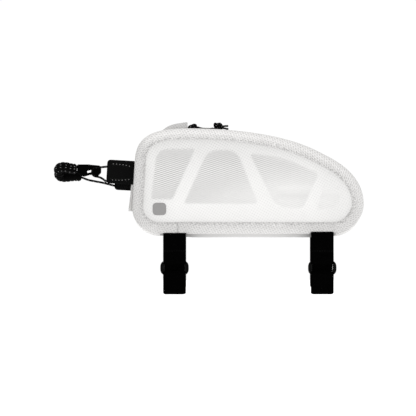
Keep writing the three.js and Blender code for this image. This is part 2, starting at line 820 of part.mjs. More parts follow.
const frontFoot = atShare(0, 0.25);
const frontHead = atShare(0.0113, 0.695);
const frontLean = Math.atan2(frontHead.x - frontFoot.x, frontHead.y - frontFoot.y);
const gussetStandOff = baseCrown * 0.36 - seamInset; // of its middle from the outline

function frontGroup(z) {
  const share = (z - frontFoot.y) / (frontHead.y - frontFoot.y);
  const group = new THREE.Group();
  group.position.set(frontFoot.x + (frontHead.x - frontFoot.x) * share, 0, z);
  group.rotation.y = frontLean;
  bag.add(group);
  return group;
}

// A tab is a plate that stands forward, with a foot turned in under the flap.
function tab(name, side, length, group) {
  const seat = gussetStandOff + gap;
  const inside = tabSpread - tabWall / 2;
  const plan = new THREE.Shape();
  plan.moveTo(-seat, side * (tabSpread + tabWall / 2));
  plan.lineTo(-seat - length, side * (tabSpread + tabWall / 2));
  plan.lineTo(-seat - length, side * inside);
  plan.lineTo(-seat - footWall, side * inside);
  plan.lineTo(-seat - footWall, side * (tabSpread - footWidth));
  plan.lineTo(-seat, side * (tabSpread - footWidth));
  plan.closePath();
  const upright = new THREE.ExtrudeGeometry(plan, { depth: tabHeight, bevelEnabled: false });
  upright.translate(0, 0, -tabHeight / 2);
  const view = roundedRectangle(2 * length, tabHeight, tabCorner, -seat, 0);
  const half = 2 * frontHalfWidth;
  const cut = solidOf(upright).intersect(solidOf(sidePlate(view, -half, half)));
  add(name, geometryOf(cut), material(colours.rubber, 0.55), group);
}

function frontFlap(group, middleZ) {
  const inner = gussetStandOff + 2 * gap + footWall;
  const [top, bottom] = [flapTopZ - middleZ, flapBottomZ - middleZ];
  const bend = bottom * 0.45;
  const side = new THREE.Shape();
  side.moveTo(-inner, top);
  side.lineTo(-inner - flapWall, top);
  side.lineTo(-inner - flapWall, bend);
  side.lineTo(-inner - flapWall - flapLift, bottom);
  side.lineTo(-inner - flapLift, bottom);
  side.lineTo(-inner, bend);
  side.closePath();
  add("front_flap", sidePlate(side, -flapWidth / 2, flapWidth / 2), material(colours.binding, 0.9), group);
}

function frontFittings() {
  const left = frontGroup(leftTabZ);
  tab("tab_left", -1, leftTabLength, left);
  frontFlap(left, leftTabZ);
  tab("tab_right", 1, rightTabLength, frontGroup(leftTabZ - rightTabDrop));
}

// Elastic cord

const vectors = (rows) => rows.map((p) => new THREE.Vector3(...p));

// A ribbed sleeve round the cord, from where the cord goes into it to the hook.
function cordGrip() {
  const points = vectors(cordRoute.filter(([x, y]) => x <= gripEndX && (y > 0 || x <= hookFrontX)));
  const path = new THREE.CatmullRomCurve3(points, false, "centripetal");
  const ribs = Math.round(path.getLength() / gripRibPitch);
  const profile = [
    { share: 0, radius: gripRoot / 2 },
    { share: 0.25, radius: gripDiameter / 2 },
    { share: 0.65, radius: gripDiameter / 2 },
    { share: 0.9, radius: gripRoot / 2 },
  ];
  const sides = 8;
  const fine = 20;
  const frames = path.computeFrenetFrames(ribs * fine, false);
  const section = (share, radius) => {
    const at = Math.round(share * ribs * fine);
    const place = path.getPointAt(share);
    const ring = [];
    for (let k = 0; k < sides; k++) {
      const turn = (2 * Math.PI * k) / sides;
      const out = frames.normals[at].clone().multiplyScalar(Math.cos(turn) * radius);
      ring.push(place.clone().add(out.addScaledVector(frames.binormals[at], Math.sin(turn) * radius)));
    }
    return ring;
  };
  const sections = [];
  for (let rib = 0; rib < ribs; rib++) {
    for (const row of profile) sections.push(section((rib + row.share) / ribs, row.radius));
  }
  sections.push(section(1, gripRoot / 2));
  const flat = sections[0].map((_, k) => {
    const turn = (2 * Math.PI * k) / sides;
    return new THREE.Vector2(Math.cos(turn), Math.sin(turn));
  });
  const sleeve = solidOf(loft(sections, false, flat));
  const bore = solidOf(tube(vectors(cordRoute), cordDiameter + 2 * gap, cordSteps));
  add("cord_grip", geometryOf(sleeve.subtract(bore)), material(colours.rubber, 0.7));
}

// The hook is a block that takes the end of the cord, thinner behind the loop, with a headed post there.
function hook() {
  const stepX = post.x - (postDiameter / 2 + cordDiameter + 3 * gap);
  const [top, bottom] = [grip.z + hookHeight * 0.43, grip.z - hookHeight * 0.48];
  const chin = hookHeight * 0.5;
  const block = roundedShape(
    [
      [hookFrontX, bottom],
      [hookFrontX + chin * 1.4, bottom - chin],
      [stepX, bottom - chin * 0.5],
      [stepX, top],
      [hookFrontX, top],
    ].map(([x, z]) => new THREE.Vector2(x, z)),
    [1, 2, 0.6, 0.6, 1.4],
  );
  const plate = roundedShape(
    [
      [stepX - hookPlate, bottom - chin * 0.6],
      [hookRearX, bottom - chin * 0.4],
      [hookRearX, top - hookHeight * 0.14],
      [stepX - hookPlate, top],
    ].map(([x, z]) => new THREE.Vector2(x, z)),
    [0.6, 3, 3, 0.6],
  );
  const eyeX = stepX - hookEyeLength / 2 - 1.2;
  const eye = roundedRectangle(hookEyeLength, hookEyeHeight, hookEyeHeight * 0.4, eyeX, post.z);
  const [near, far] = [grip.y - hookWall / 2, grip.y + hookWall / 2];
  const plateNear = post.y + cordDiameter / 2 + gap;
  const headNear = post.y - cordDiameter / 2 - gap;
  const turnedPost = [
    [0, plateNear + 0.5],
    [postDiameter / 2, plateNear + 0.5],
    [postDiameter / 2, headNear],
    [postDiameter / 2 + postHead, headNear],
    [postDiameter / 2 + postHead * 0.6, headNear - postHead],
    [0, headNear - postHead],
  ].map(([radius, y]) => new THREE.Vector2(radius, y));
  const postSolid = new THREE.LatheGeometry(turnedPost.reverse(), 14).translate(post.x, 0, post.z);
  const solid = solidOf(sidePlate(block, near, far))
    .add(solidOf(sidePlate(plate, plateNear, plateNear + hookPlate)))
    .add(solidOf(postSolid))
    .subtract(solidOf(sidePlate(eye, near - 1, far + 1)));
  add("hook", geometryOf(solid), material(colours.plastic, 0.3));
}

function elasticCord() {
  const cord = material(colours.webbing, 0.8);
  add("cord_long", tube(vectors(cordRoute), cordDiameter, cordSteps), cord);
  add("cord_loop", tube(vectors(loopRoute), cordDiameter, loopSteps), cord);
}

sidePanels();
stiffeners();
badge();
bindings();
gussetAndBase();
zipTapeAndCoil();
zipSlider();
zipPull();
zipGarage();
straps();
frontFittings();
cordGrip();
hook();
elasticCord();

export default bag;
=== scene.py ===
"""Looks of a bicycle top tube bag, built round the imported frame, in metres and in the frame's axes."""

import math
from collections import namedtuple

import bmesh
import bpy
import numpy as np
from mathutils import Matrix, Vector, noise


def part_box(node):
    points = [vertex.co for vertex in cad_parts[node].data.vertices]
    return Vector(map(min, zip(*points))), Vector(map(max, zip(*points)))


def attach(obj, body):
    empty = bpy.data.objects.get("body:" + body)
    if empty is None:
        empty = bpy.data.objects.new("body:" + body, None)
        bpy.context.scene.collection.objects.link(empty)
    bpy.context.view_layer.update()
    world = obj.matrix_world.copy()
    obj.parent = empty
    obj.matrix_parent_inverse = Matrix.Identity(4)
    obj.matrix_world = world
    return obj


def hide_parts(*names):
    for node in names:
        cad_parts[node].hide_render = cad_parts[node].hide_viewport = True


MM = 0.001
SIDES = (("left", -1), ("right", 1))

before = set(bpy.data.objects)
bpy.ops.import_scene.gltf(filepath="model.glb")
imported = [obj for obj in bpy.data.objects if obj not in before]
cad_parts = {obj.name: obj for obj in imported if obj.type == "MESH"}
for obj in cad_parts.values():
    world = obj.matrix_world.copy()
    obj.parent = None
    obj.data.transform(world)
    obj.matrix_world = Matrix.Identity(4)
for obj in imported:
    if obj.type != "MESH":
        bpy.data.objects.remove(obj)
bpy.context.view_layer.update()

# Body, as the bindings' outline gives it
edge_low, edge_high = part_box("binding_left")
FRONT_X = edge_low.x
BODY_LENGTH = edge_high.x - edge_low.x
RIM_Z = edge_low.z
BODY_HEIGHT = edge_high.z - edge_low.z
FRONT_HALF_WIDTH = 26 * MM
REAR_HALF_WIDTH = 20 * MM
GAP = 0.3 * MM
BINDING_WALL = 1.2 * MM
BINDING_WIDTH = 11 * MM
BINDING_LIP = 4 * MM
SEAM_INSET = BINDING_WALL + GAP
WALL = 1.5 * MM
BULGE = 4 * MM
BULGE_END = 37.7 * MM  # from the outline to where the side panel is flat
BASE_CROWN = RIM_Z + BINDING_WALL + GAP

# The bindings' outline, as the part's source has it, in shares of the body's length and height
OUTLINE_START = {"along": 0.2, "up": 0, "crown": 0.84}
OUTLINE = [
    {"part": "base", "along": 0.27, "up": 0, "crown": 1},
    {"part": "base", "along": 0.77, "up": 0, "crown": 1},
    {"part": "base", "along": 0.874, "up": 0, "crown": 0.72},
    {"part": "gusset", "handles": (0.954, 0, 1, 0.19), "along": 1, "up": 0.2825, "crown": 0.4},
    {"part": "gusset", "handles": (1, 0.596, 0.852, 0.726), "along": 0.8025, "up": 0.7827, "crown": 0.06},
    {"part": "gusset", "handles": (0.6447, 0.9636, 0.3933, 1), "along": 0.25, "up": 1, "crown": -0.16},
    {"part": "gusset", "handles": (0.1205, 1, 0.0165, 0.969), "along": 0.0113, "up": 0.695, "crown": 0.3},
    {"part": "gusset", "along": 0, "up": 0.25, "crown": 0.36},
    {"part": "gusset", "handles": (0, 0.118, 0.047, 0), "along": 0.1205, "up": 0, "crown": 0.66},
    {"part": "base", "along": 0.2, "up": 0, "crown": 0.84},
]
CROWN_TABLE = [(-1, 0), (-0.8, 0.68), (-0.55, 1), (0.55, 1), (0.8, 0.68), (1, 0)]

# The openings of the stiffener behind each side, corners and rounding in the same shares
WINDOWS = [
    {
        "corners": [(0.081, 0.327), (0.175, 0.327), (0.273, 0.807), (0.106, 0.807)],
        "rounding": (0.03, 0.03, 0.03, 0.12),
    },
    {
        "corners": [(0.222, 0.286), (0.544, 0.286), (0.45, 0.797), (0.327, 0.797)],
        "rounding": (0.03, 0.04, 0.1, 0.1),
    },
    {
        "corners": [(0.622, 0.246), (0.737, 0.238), (0.805, 0.57), (0.657, 0.72), (0.505, 0.765)],
        "rounding": (0.12, 0.06, 0.04, 0.1, 0.05),
    },
    {
        "corners": [(0.795, 0.23), (0.883, 0.25), (0.903, 0.36), (0.83, 0.47)],
        "rounding": (0.03, 0.04, 0.05, 0.04),
    },
]
BADGE_PLACE = (0.1175, 0.236)
BADGE_CORNER = 4.4 * MM
SEAM_STITCH = (1.7 * MM, 0.5 * MM)  # length and thickness
STITCH_PITCH = 2.6 * MM

# Cord routes, repeated from the part's source, in millimetres
CORD_ROUTE = [
    (-142.4, 11, 54.9),
    (-147.5, 11, 56.2),
    (-154, 10.6, 57.8),
    (-162, 10, 59.3),
    (-168.8, 9.3, 60.7),
    (-175.6, 9, 63.2),
    (-180.4, 9, 64.2),
    (-186, 9, 63.9),
    (-191, 9, 63.3),
    (-194.8, 8.3, 63.2),
    (-198.2, 6.4, 64),
    (-200.4, 3.4, 66.2),
    (-201.1, 0, 69),
    (-200.4, -3.4, 71.9),
    (-198.2, -6.4, 74),
    (-194.8, -8.3, 74.8),
    (-191, -9, 74.5),
    (-185.5, -9, 73.3),
    (-180.2, -9, 72.9),
]
LOOP_ROUTE = [
    (-149.9, -11, 74.4),
    (-152, -11, 74.2),
    (-154.4, -11, 73.9),
    (-157, -11, 73.5),
    (-159.6, -11, 73.3),
    (-161.4, -11, 72.9),
    (-162.8, -11, 72),
    (-163.8, -11, 70.5),
    (-164.2, -11, 68.7),
    (-163.8, -11, 66.9),
    (-162.8, -11, 65.4),
    (-161.4, -11, 64.5),
    (-159.6, -11, 64.1),
    (-157, -11, 63.6),
    (-154.4, -11, 62.5),
    (-152, -11, 61),
    (-149.9, -11, 59.4),
]
PULL_ROUTE = [
    (-36.9, -1.5, 1.9),
    (-38.9, -1.6, 1.3),
    (-41.6, -1.8, 1.15),
    (-45, -1.8, 1.15),
    (-49, -1.9, 1.45),
    (-52.5, -2.1, 2.45),
    (-55.4, -2.4, 2.85),
    (-57.6, -2, 2.8),
    (-58.5, 0, 2.85),
    (-57.6, 2, 2.8),
    (-55.4, 2.4, 2.85),
    (-52.5, 2.1, 2.45),
    (-49, 1.9, 1.45),
    (-45, 1.8, 1.15),
    (-41.6, 1.8, 1.15),
    (-38.9, 1.6, 1.3),
    (-36.9, 1.5, 1.9),
]
CORD_DIAMETER = 2.3 * MM
PULL_DIAMETER = 2.1 * MM
COIL_HEIGHT = 1 * MM
GRIP_DIAMETER = 9.4 * MM
GRIP_ROOT = 8 * MM
GRIP_PITCH = 4.2 * MM
GRIP_CLOSING = 0.8 * MM
GRIP_FILL = 0.3 * MM
GRIP_BEND_X = -193 * MM
GRIP_MIDDLE_Z = 69 * MM
GRIP_DENT = 1.6 * MM
GRIP_DENT_REACH = 2.4 * MM
GRIP_TIP = 2.4 * MM
GRIP_START_X = -175.6  # on the tab's strand, in millimetres as in the route
GRIP_END_X = -179.9  # on the hook's strand


# Camera


def camera():
    """Level with the side of the bag. The photo is 416 pixels wide, and a pixel is 1.05 mm on the bag."""
    pixel = 1.05 * MM
    picture = 416
    width = picture * pixel
    distance = 4.0
    origin_pixel = Vector((248, 237.5))
    data = bpy.data.cameras.new("camera")
    data.sensor_width = 36
    data.lens = data.sensor_width * distance / width
    centre_x = (picture / 2 - origin_pixel.x) * pixel
    centre_z = (origin_pixel.y - picture / 2) * pixel
    obj = add_object("camera", data)
    obj.location = (centre_x, -FRONT_HALF_WIDTH - distance, centre_z)
    obj.rotation_euler = (math.radians(90), 0, 0)
    bpy.context.scene.camera = obj


# Meshes


def add_object(name, data):
    obj = bpy.data.objects.new(name, data)
    bpy.context.scene.collection.objects.link(obj)
    return obj


def add_mesh(name, vertices, faces, material, replaces=(), uvs=None, seam_and_shade=None):
    """A piece made of vertices and faces. The uvs, and the seam darkness with painted shade, hold a pair for
    each vertex.
    """
    mesh = bpy.data.meshes.new(name)
    mesh.from_pydata([tuple(v) for v in vertices], [], faces)
    if uvs is not None:
        layer = mesh.uv_layers.new(name="run")
        corner = np.empty(len(mesh.loops), dtype=np.int32)
        mesh.loops.foreach_get("vertex_index", corner)
        layer.data.foreach_set("uv", np.asarray(uvs, dtype=np.float32)[corner].ravel())
    if seam_and_shade is not None:
        paint(mesh, "seam_and_shade", zip(*seam_and_shade))
    mesh.polygons.foreach_set("use_smooth", [True] * len(mesh.polygons))
    mesh.update()
    obj = add_object(name, mesh)
    face_outward(obj)
    mesh.materials.append(material)
    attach(obj, "root")
    if replaces:
        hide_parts(*replaces)
    return obj


def paint(mesh, name, channels):
    """A colour layer at the vertices, from up to four lists of values."""
    values = np.ones((len(mesh.vertices), 4), dtype=np.float32)
    for k, channel in enumerate(channels):
        values[:, k] = channel
    mesh.color_attributes.new(name, "FLOAT_COLOR", "POINT").data.foreach_set("color", values.ravel())


def face_outward(obj):
    work = bmesh.new()
    work.from_mesh(obj.data)
    bmesh.ops.recalc_face_normals(work, faces=work.faces)
    work.to_mesh(obj.data)
    work.free()


def skin(rings, closed_along=False):
    """Vertices, faces and run coordinates of a skin over rings of points that have as many points each."""
    across = len(rings[0])
    vertices = [p for ring in rings for p in ring]
    uvs = []
    run = 0.0
    for k, ring in enumerate(rings):
        if k:
            run += (ring[0] - rings[k - 1][0]).length
        side = 0.0
        for j, p in enumerate(ring):
            if j:
                side += (p - ring[j - 1]).length
            uvs.append((run, side))
    faces = []
    last = len(rings) if closed_along else len(rings) - 1
    for i in range(last):
        n = (i + 1) % len(rings)
        for j in range(across):
            m = (j + 1) % across
            faces.append((i * across + j, i * across + m, n * across + m, n * across + j))
    if not closed_along:
        faces.append(tuple(range(across))[::-1])
        faces.append(tuple((len(rings) - 1) * across + j for j in range(across)))
    return vertices, faces, uvs


def add_skin(name, rings, material, replaces=(), seam_and_shade=None, closed_along=False):
    vertices, faces, uvs = skin(rings, closed_along)
    return add_mesh(name, vertices, faces, material, replaces, uvs, seam_and_shade)


def smooth_line(points, step):
    """A centripetal curve through the points, as the part's source has, at even steps."""
    points = [Vector(p) for p in points]
    ends = [2 * points[0] - points[1]] + points + [2 * points[-1] - points[-2]]
    fine = []
    for k in range(1, len(ends) - 2):
        p0, p1, p2, p3 = ends[k - 1 : k + 3]
        t0 = math.sqrt((p1 - p0).length) or 1e-6
        t1 = math.sqrt((p2 - p1).length) or 1e-6
        t2 = math.sqrt((p3 - p2).length) or 1e-6
        m1 = ((p1 - p0) / t0 - (p2 - p0) / (t0 + t1) + (p2 - p1) / t1) * t1
        m2 = ((p2 - p1) / t1 - (p3 - p1) / (t1 + t2) + (p3 - p2) / t2) * t1
        for s in range(16):
            t = s / 16
            a = 2 * t**3 - 3 * t**2 + 1
            b = t**3 - 2 * t**2 + t
            c = -2 * t**3 + 3 * t**2
            d = t**3 - t**2
            fine.append(p1 * a + m1 * b + p2 * c + m2 * d)
    fine.append(points[-1])
    return even_line(fine, step)


def even_line(line, step):
    """The same line with its points at even distances."""
    runs = [0.0]
    for a, b in zip(line, line[1:]):
        runs.append(runs[-1] + (b - a).length)
    count = max(2, round(runs[-1] / step) + 1)
    out = []
    k = 0
    for i in range(count):
        want = runs[-1] * i / (count - 1)
        while k < len(runs) - 2 and runs[k + 1] < want:
            k += 1
        share = (want - runs[k]) / max(runs[k + 1] - runs[k], 1e-12)
        out.append(line[k].lerp(line[k + 1], min(max(share, 0), 1)))
    return out


def smoothstep(value, low, high):
    """From 0 to 1 between two values, for a number or an array."""
    t = np.clip((value - low) / (high - low), 0, 1)
    return t * t * (3 - 2 * t)


def angles(count):
    """Even angles round a circle."""
    return [2 * math.pi * k / count for k in range(count)]


def tangents(line, closed=False):
    """The way a line runs at each of its points."""
    count = len(line)
    if closed:
        return [(line[(k + 1) % count] - line[k - 1]).normalized() for k in range(count)]
    return [(line[min(k + 1, count - 1)] - line[max(k - 1, 0)]).normalized() for k in range(count)]


def over(along):
    """The way up from a line that runs along the bag."""
    return Vector((-along.z, 0, along.x))


def wobble(x, y, z):
    """Smooth noise about zero. The same place always has the same value."""
    return noise.noise(Vector((x, y, z)))


def line_length(line):
    return sum((b - a).length for a, b in zip(line, line[1:]))


def tube_rings(line, radius, sides, closed):
    """Rings round a line. radius is a number, or a function of the share of the line."""
    ways = tangents(line, closed)
    up = Vector((0, 0, 1)) if abs(ways[0].z) < 0.9 else Vector((0, 1, 0))
    normal = ways[0].cross(up).normalized()
    rings = []
    for k, along in enumerate(ways):
        normal = (normal - along * normal.dot(along)).normalized()
        other = along.cross(normal)
        r = radius(k / (len(line) - 1)) if callable(radius) else radius
        rings.append(
            [line[k] + normal * (r * math.cos(a)) + other * (r * math.sin(a)) for a in angles(sides)]
        )
    return rings


def add_tube(name, line, radius, material, replaces=(), sides=12, closed=False):
    rings = tube_rings(line, radius, sides, closed)
    return add_skin(name, rings, material, replaces, closed_along=closed)


def rounded_polygon(corners, radii, steps=8):
    """Points of a polygon in the plane with rounded corners."""
    out = []
    count = len(corners)
    for k in range(count):
        at = Vector(corners[k])
        before = at + (Vector(corners[k - 1]) - at).normalized() * radii[k]
        after = at + (Vector(corners[(k + 1) % count]) - at).normalized() * radii[k]
        for s in range(steps + 1):
            t = s / steps
            out.append(before * (1 - t) ** 2 + at * (2 * t * (1 - t)) + after * t**2)
    return out


def rounded_rectangle(width, height, radius, centre=(0, 0), steps=8):
    w, h = width / 2, height / 2
    corners = [(-w, -h), (w, -h), (w, h), (-w, h)]
    moved = [(centre[0] + x, centre[1] + y) for x, y in corners]
    return rounded_polygon(moved, [radius] * 4, steps)


def stitch_places(line, pitch, up):
    """A stitch between each two points at even steps. up gives its way out by its place and direction."""
    line = even_line(line, pitch)
    places = []
    for a, b in zip(line, line[1:]):
        place, along = (a + b) / 2, (b - a).normalized()
        places.append((place, along, up(place, along)))
    return places


def stitch_mesh(name, stitches, size, material):
    """Short rods with round ends. Each stitch has its place, its direction and its way out."""
    length, thick = size
    vertices, faces = [], []
    sides, profile = 6, ((-0.5, 0.35), (-0.38, 0.8), (0, 1), (0.38, 0.8), (0.5, 0.35))
    for place, along, up in stitches:
        across = along.cross(up).normalized()
        start = len(vertices)
        for share, girth in profile:
            for a in angles(sides):
                offset = across * (math.cos(a) * girth) + up * (math.sin(a) * girth * 0.8)
                vertices.append(place + along * (share * length) + offset * (thick / 2))
        for i in range(len(profile) - 1):
            for j in range(sides):
                m = (j + 1) % sides
                a, b = start + i * sides, start + (i + 1) * sides
                faces.append((a + j, a + m, b + m, b + j))
        end = start + (len(profile) - 1) * sides
        faces.append(tuple(start + j for j in range(sides))[::-1])
        faces.append(tuple(end + j for j in range(sides)))
    return add_mesh(name, vertices, faces, material)


# Materials


class Shade:
    """The nodes of a material or a world. Most calls add one node and return its output."""

    def __init__(self, name, world=False):
        self.owner = (bpy.data.worlds if world else bpy.data.materials).new(name)
        self.owner.use_nodes = True
        self.nodes = self.owner.node_tree.nodes
        self.links = self.owner.node_tree.links

    def node(self, kind, inputs=(), output=0, **settings):
        made = self.nodes.new(kind)
        for key, value in settings.items():
            setattr(made, key, value)
        for key, value in dict(inputs).items():
            self.put(made.inputs[key], value)
        return made.outputs[output]

    def put(self, socket, value):
        if isinstance(value, bpy.types.NodeSocket):
            self.links.new(value, socket)
        else:
            socket.default_value = value

    def math(self, operation, *values):
        return self.node("ShaderNodeMath", enumerate(values), operation=operation)

    def times(self, *values):
        return self.math("MULTIPLY", *values)

    def plus(self, *values):
        return self.math("ADD", *values)

    def minus(self, *values):
        return self.math("SUBTRACT", *values)

    def scaled(self, value, factor, start):
        return self.math("MULTIPLY_ADD", value, factor, start)

    def layer(self, name):
        return self.axes(self.node("ShaderNodeVertexColor", layer_name=name))

    def place(self, kind="Object", turn=(0, 0, 0)):
        source = self.node("ShaderNodeTexCoord", output=kind)
        return self.node("ShaderNodeMapping", {"Vector": source, "Rotation": turn})

    def axes(self, vector):
        return self.node("ShaderNodeSeparateXYZ", {0: vector}).node.outputs

    def noise(self, vector, scale, detail=2.0, rough=0.5):
        inputs = {"Vector": vector, "Scale": scale, "Detail": detail, "Roughness": rough}
        return self.node("ShaderNodeTexNoise", inputs)

    def cells(self, vector, scale):
        return self.node("ShaderNodeTexVoronoi", {"Vector": vector, "Scale": scale})

    def wave(self, value, period):
        """A sine of the value, from 0 to 1."""
        turned = self.times(value, 2 * math.pi / period)
        return self.scaled(self.math("SINE", turned), 0.5, 0.5)

    def spread(self, value, low, high, start=0.0, end=1.0):
        inputs = {"Value": value, "From Min": start, "From Max": end, "To Min": low, "To Max": high}
        return self.node("ShaderNodeMapRange", inputs)

    def ramp(self, value, low, high, times=None):
        """A colour between two, by a value from 0 to 1, multiplied by another colour where one is given."""
        made = self.mix(value, (*low, 1), (*high, 1))
        return made if times is None else self.mix(1.0, times, made, "MULTIPLY")

    def mix(self, value, low, high, blend="MIX"):
        made = self.nodes.new("ShaderNodeMix")
        made.data_type = "RGBA"
        made.blend_type = blend
        for key, what in ((0, value), (6, low), (7, high)):
            self.put(made.inputs[key], what)
        return made.outputs[2]

    def bump(self, height, distance, strength):
        return self.node("ShaderNodeBump", {"Height": height, "Distance": distance, "Strength": strength})

    def set(self, **values):
        surface = self.nodes["Principled BSDF"]
        for key, value in values.items():
            self.put(surface.inputs[key.replace("_", " ")], value)
        return self.owner


def grey(level, warmth=0.0):
    return (level * (1 + warmth), level, level * (1 - warmth))


WARM = 0.012


def side_cloth_material():
    """Translucent white weave. The colour layer holds its tone, with painted shade in it, the weave's
    strength and the open share.
    """
    s = Shade("side_cloth")
    x, _, z = s.axes(s.place())
    across = s.wave(s.scaled(z, 0.05, x), 0.0066)
    down = s.wave(z, 0.00215)
    both = s.times(across, down)
    neither = s.times(s.minus(1.0, across), s.minus(1.0, down))
    dashes = s.plus(both, neither)
    one = s.wave(s.scaled(z, 1.78, x), 0.00538)
    two = s.wave(s.scaled(z, -0.604, x), 0.00289)
    checks = s.scaled(s.times(one, two), 1.0, 0.2)
    tone = s.layer("backing_and_shade")
    turn = s.minus(dashes, checks)
    holes = s.scaled(turn, tone[2], checks)
    soft = s.noise(s.place(), 38, 3, 0.55)
    uneven = s.noise(s.place(), 170, 2, 0.6)
    level = s.plus(tone[0], s.spread(soft, -0.014, 0.014))
    strength = s.times(tone[1], s.spread(uneven, 0.55, 1.45, 0.3, 0.7))
    shade = s.minus(level, s.times(s.minus(holes, 0.48), strength))
    warm = s.times(shade, 1 + WARM * 0.6)
    cool = s.times(shade, 1 - WARM)
    return s.set(
        Base_Color=s.node("ShaderNodeCombineColor", {0: warm, 1: shade, 2: cool}),
        Roughness=0.62,
        Specular_IOR_Level=0.25,
        Alpha=s.spread(holes, 0.98, 0.92),
        Normal=s.bump(s.minus(1.0, holes), 0.00015, 0.5),
    )


def knit_material(name, level, contrast):
    """White spacer knit, speckled between its ribs, with dark specks where the colour layer has a seam, the
    seam's dark knit with painted shade in its groove; the layer's second channel is painted shade.
    """
    s = Shade(name)
    place = s.place()
    warped = s.noise(place, 520, 2, 0.6)
    grain = s.cells(place, 820)
    along, across, _ = s.axes(s.node("ShaderNodeUVMap", uv_map="run"))
    wander = s.scaled(s.noise(place, 260, 1, 0.5), 0.0012, across)
    column = s.wave(s.scaled(wander, 0.5, along), 0.0028)
    row = s.wave(s.scaled(along, 0.35, wander), 0.0022)
    loops = s.times(column, row)
    coarse = s.noise(place, 210, 2, 0.6)
    speck = s.times(s.spread(grain, 0, 1, 0.05, 0.75), 0.5)
    fine = s.plus(speck, s.times(s.spread(warped, 0, 1, 0.32, 0.68), 0.5))
    mixed = s.plus(s.times(fine, 0.4), s.times(loops, 0.9))
    deep = s.times(mixed, s.spread(coarse, 0.85, 1.1, 0.35, 0.65))
    seam_and_shade = s.layer("seam_and_shade")
    specks = s.spread(s.noise(place, 640, 1, 0.5), 0.12, 1, 0.4, 0.62)
    seam_specks_and_shade = s.times(seam_and_shade[0], specks)
    low, high = grey(level - contrast, WARM), grey(level + contrast * 0.5, WARM)
    body = s.node("ShaderNodeClamp", {0: s.minus(1.0, deep)})
    cloth = s.ramp(seam_specks_and_shade, (1, 1, 1), (0.62, 0.62, 0.62), times=s.ramp(body, low, high))
    # The layer's second channel darkens the knit with painted shade.
    return s.set(
        Base_Color=s.ramp(seam_and_shade[1], (1, 1, 1), (0.62, 0.62, 0.62), times=cloth),
        Roughness=0.93,
        Specular_IOR_Level=0.15,
        Normal=s.bump(s.minus(1.0, mixed), 0.0005, 0.7),
    )


def smooth_cloth_material(name, level):
    """Coated fabric with a faint weave."""
    s = Shade(name)
    x, y, z = s.axes(s.place())
    weave = s.times(s.wave(x, 0.0011), s.wave(s.plus(y, z), 0.0011))
    broad = s.noise(s.place(), 45, 2, 0.5)
    value = s.plus(s.times(weave, 0.25), s.times(broad, 0.75))
    # The layer's second channel is painted shade, deepest near the straps.
    near = s.layer("seam_and_shade")[1]
    cloth = s.ramp(value, grey(level - 0.05, WARM), grey(level + 0.03, WARM))
    return s.set(
        Base_Color=s.ramp(near, (1, 1, 1), (0.42, 0.42, 0.42), times=cloth),
        Roughness=0.5,
        Specular_IOR_Level=0.3,
        Normal=s.bump(weave, 0.0001, 0.35),
    )


def board_material():
    s = Shade("stiffener_board")
    mottle = s.noise(s.place(), 120, 3, 0.6)
    return s.set(
        Base_Color=s.ramp(mottle, grey(0.86, WARM), grey(0.92, WARM)),
        Roughness=0.6,
        Normal=s.bump(mottle, 0.0001, 0.3),
    )


def badge_material():
    s = Shade("badge_patch")
    grain = s.noise(s.place(), 900, 2, 0.5)
    return s.set(
        Base_Color=s.ramp(grain, (0.272, 0.268, 0.265), (0.296, 0.291, 0.288)),
        Roughness=0.5,
        Specular_IOR_Level=0.25,
        Normal=s.bump(grain, 0.00008, 0.4),
    )


def thread_material(name, level):
    s = Shade(name)
    twist = s.wave(s.axes(s.place(turn=(0.6, 0.5, 0.7)))[0], 0.0004)
    return s.set(
        Base_Color=s.ramp(twist, grey(level * 0.8, WARM), grey(level, WARM)),
        Roughness=0.7,
        Specular_IOR_Level=0.2,
        Normal=s.bump(twist, 0.0001, 0.4),
    )


def webbing_material():
    """Black hook-and-loop webbing: rows of small loops, with a closer woven edge."""
    s = Shade("webbing")
    place = s.place()
    fuzz = s.cells(place, 1300)
    pile = s.noise(place, 700, 3, 0.7)
    rows = s.wave(s.axes(s.place("UV"))[0], 0.0011)
    height = s.plus(s.times(fuzz, 0.8), s.times(rows, 0.4))
    value = s.times(s.spread(pile, 0, 1, 0.35, 0.7), fuzz)
    return s.set(
        Base_Color=s.ramp(value, grey(0.0005), grey(0.0024)),
        Roughness=0.95,
        Specular_IOR_Level=0.0,
        Normal=s.bump(height, 0.0004, 0.9),
    )


def zip_cloth_material():
    s = Shade("zip_cloth")
    x, y, _ = s.axes(s.place())
    weave = s.times(s.wave(s.plus(x, y), 0.001), s.wave(s.minus(x, y), 0.001))
    return s.set(
        Base_Color=s.ramp(weave, grey(0.004), grey(0.014)),
        Roughness=0.9,
        Specular_IOR_Level=0.08,
        Normal=s.bump(weave, 0.0002, 0.6),
    )


def moulded_material(name, level, rough, gloss, grain=1500):
    """Moulded black plastic or rubber with a fine grain."""
    s = Shade(name)
    fine = s.noise(s.place(), grain, 2, 0.6)
    broad = s.noise(s.place(), 90, 2, 0.5)
    return s.set(
        Base_Color=s.ramp(broad, grey(level * 0.75), grey(level * 1.25)),
        Roughness=s.spread(broad, rough - 0.05, rough + 0.07),
        Specular_IOR_Level=gloss,
        Normal=s.bump(fine, 0.00006, 0.35),
    )


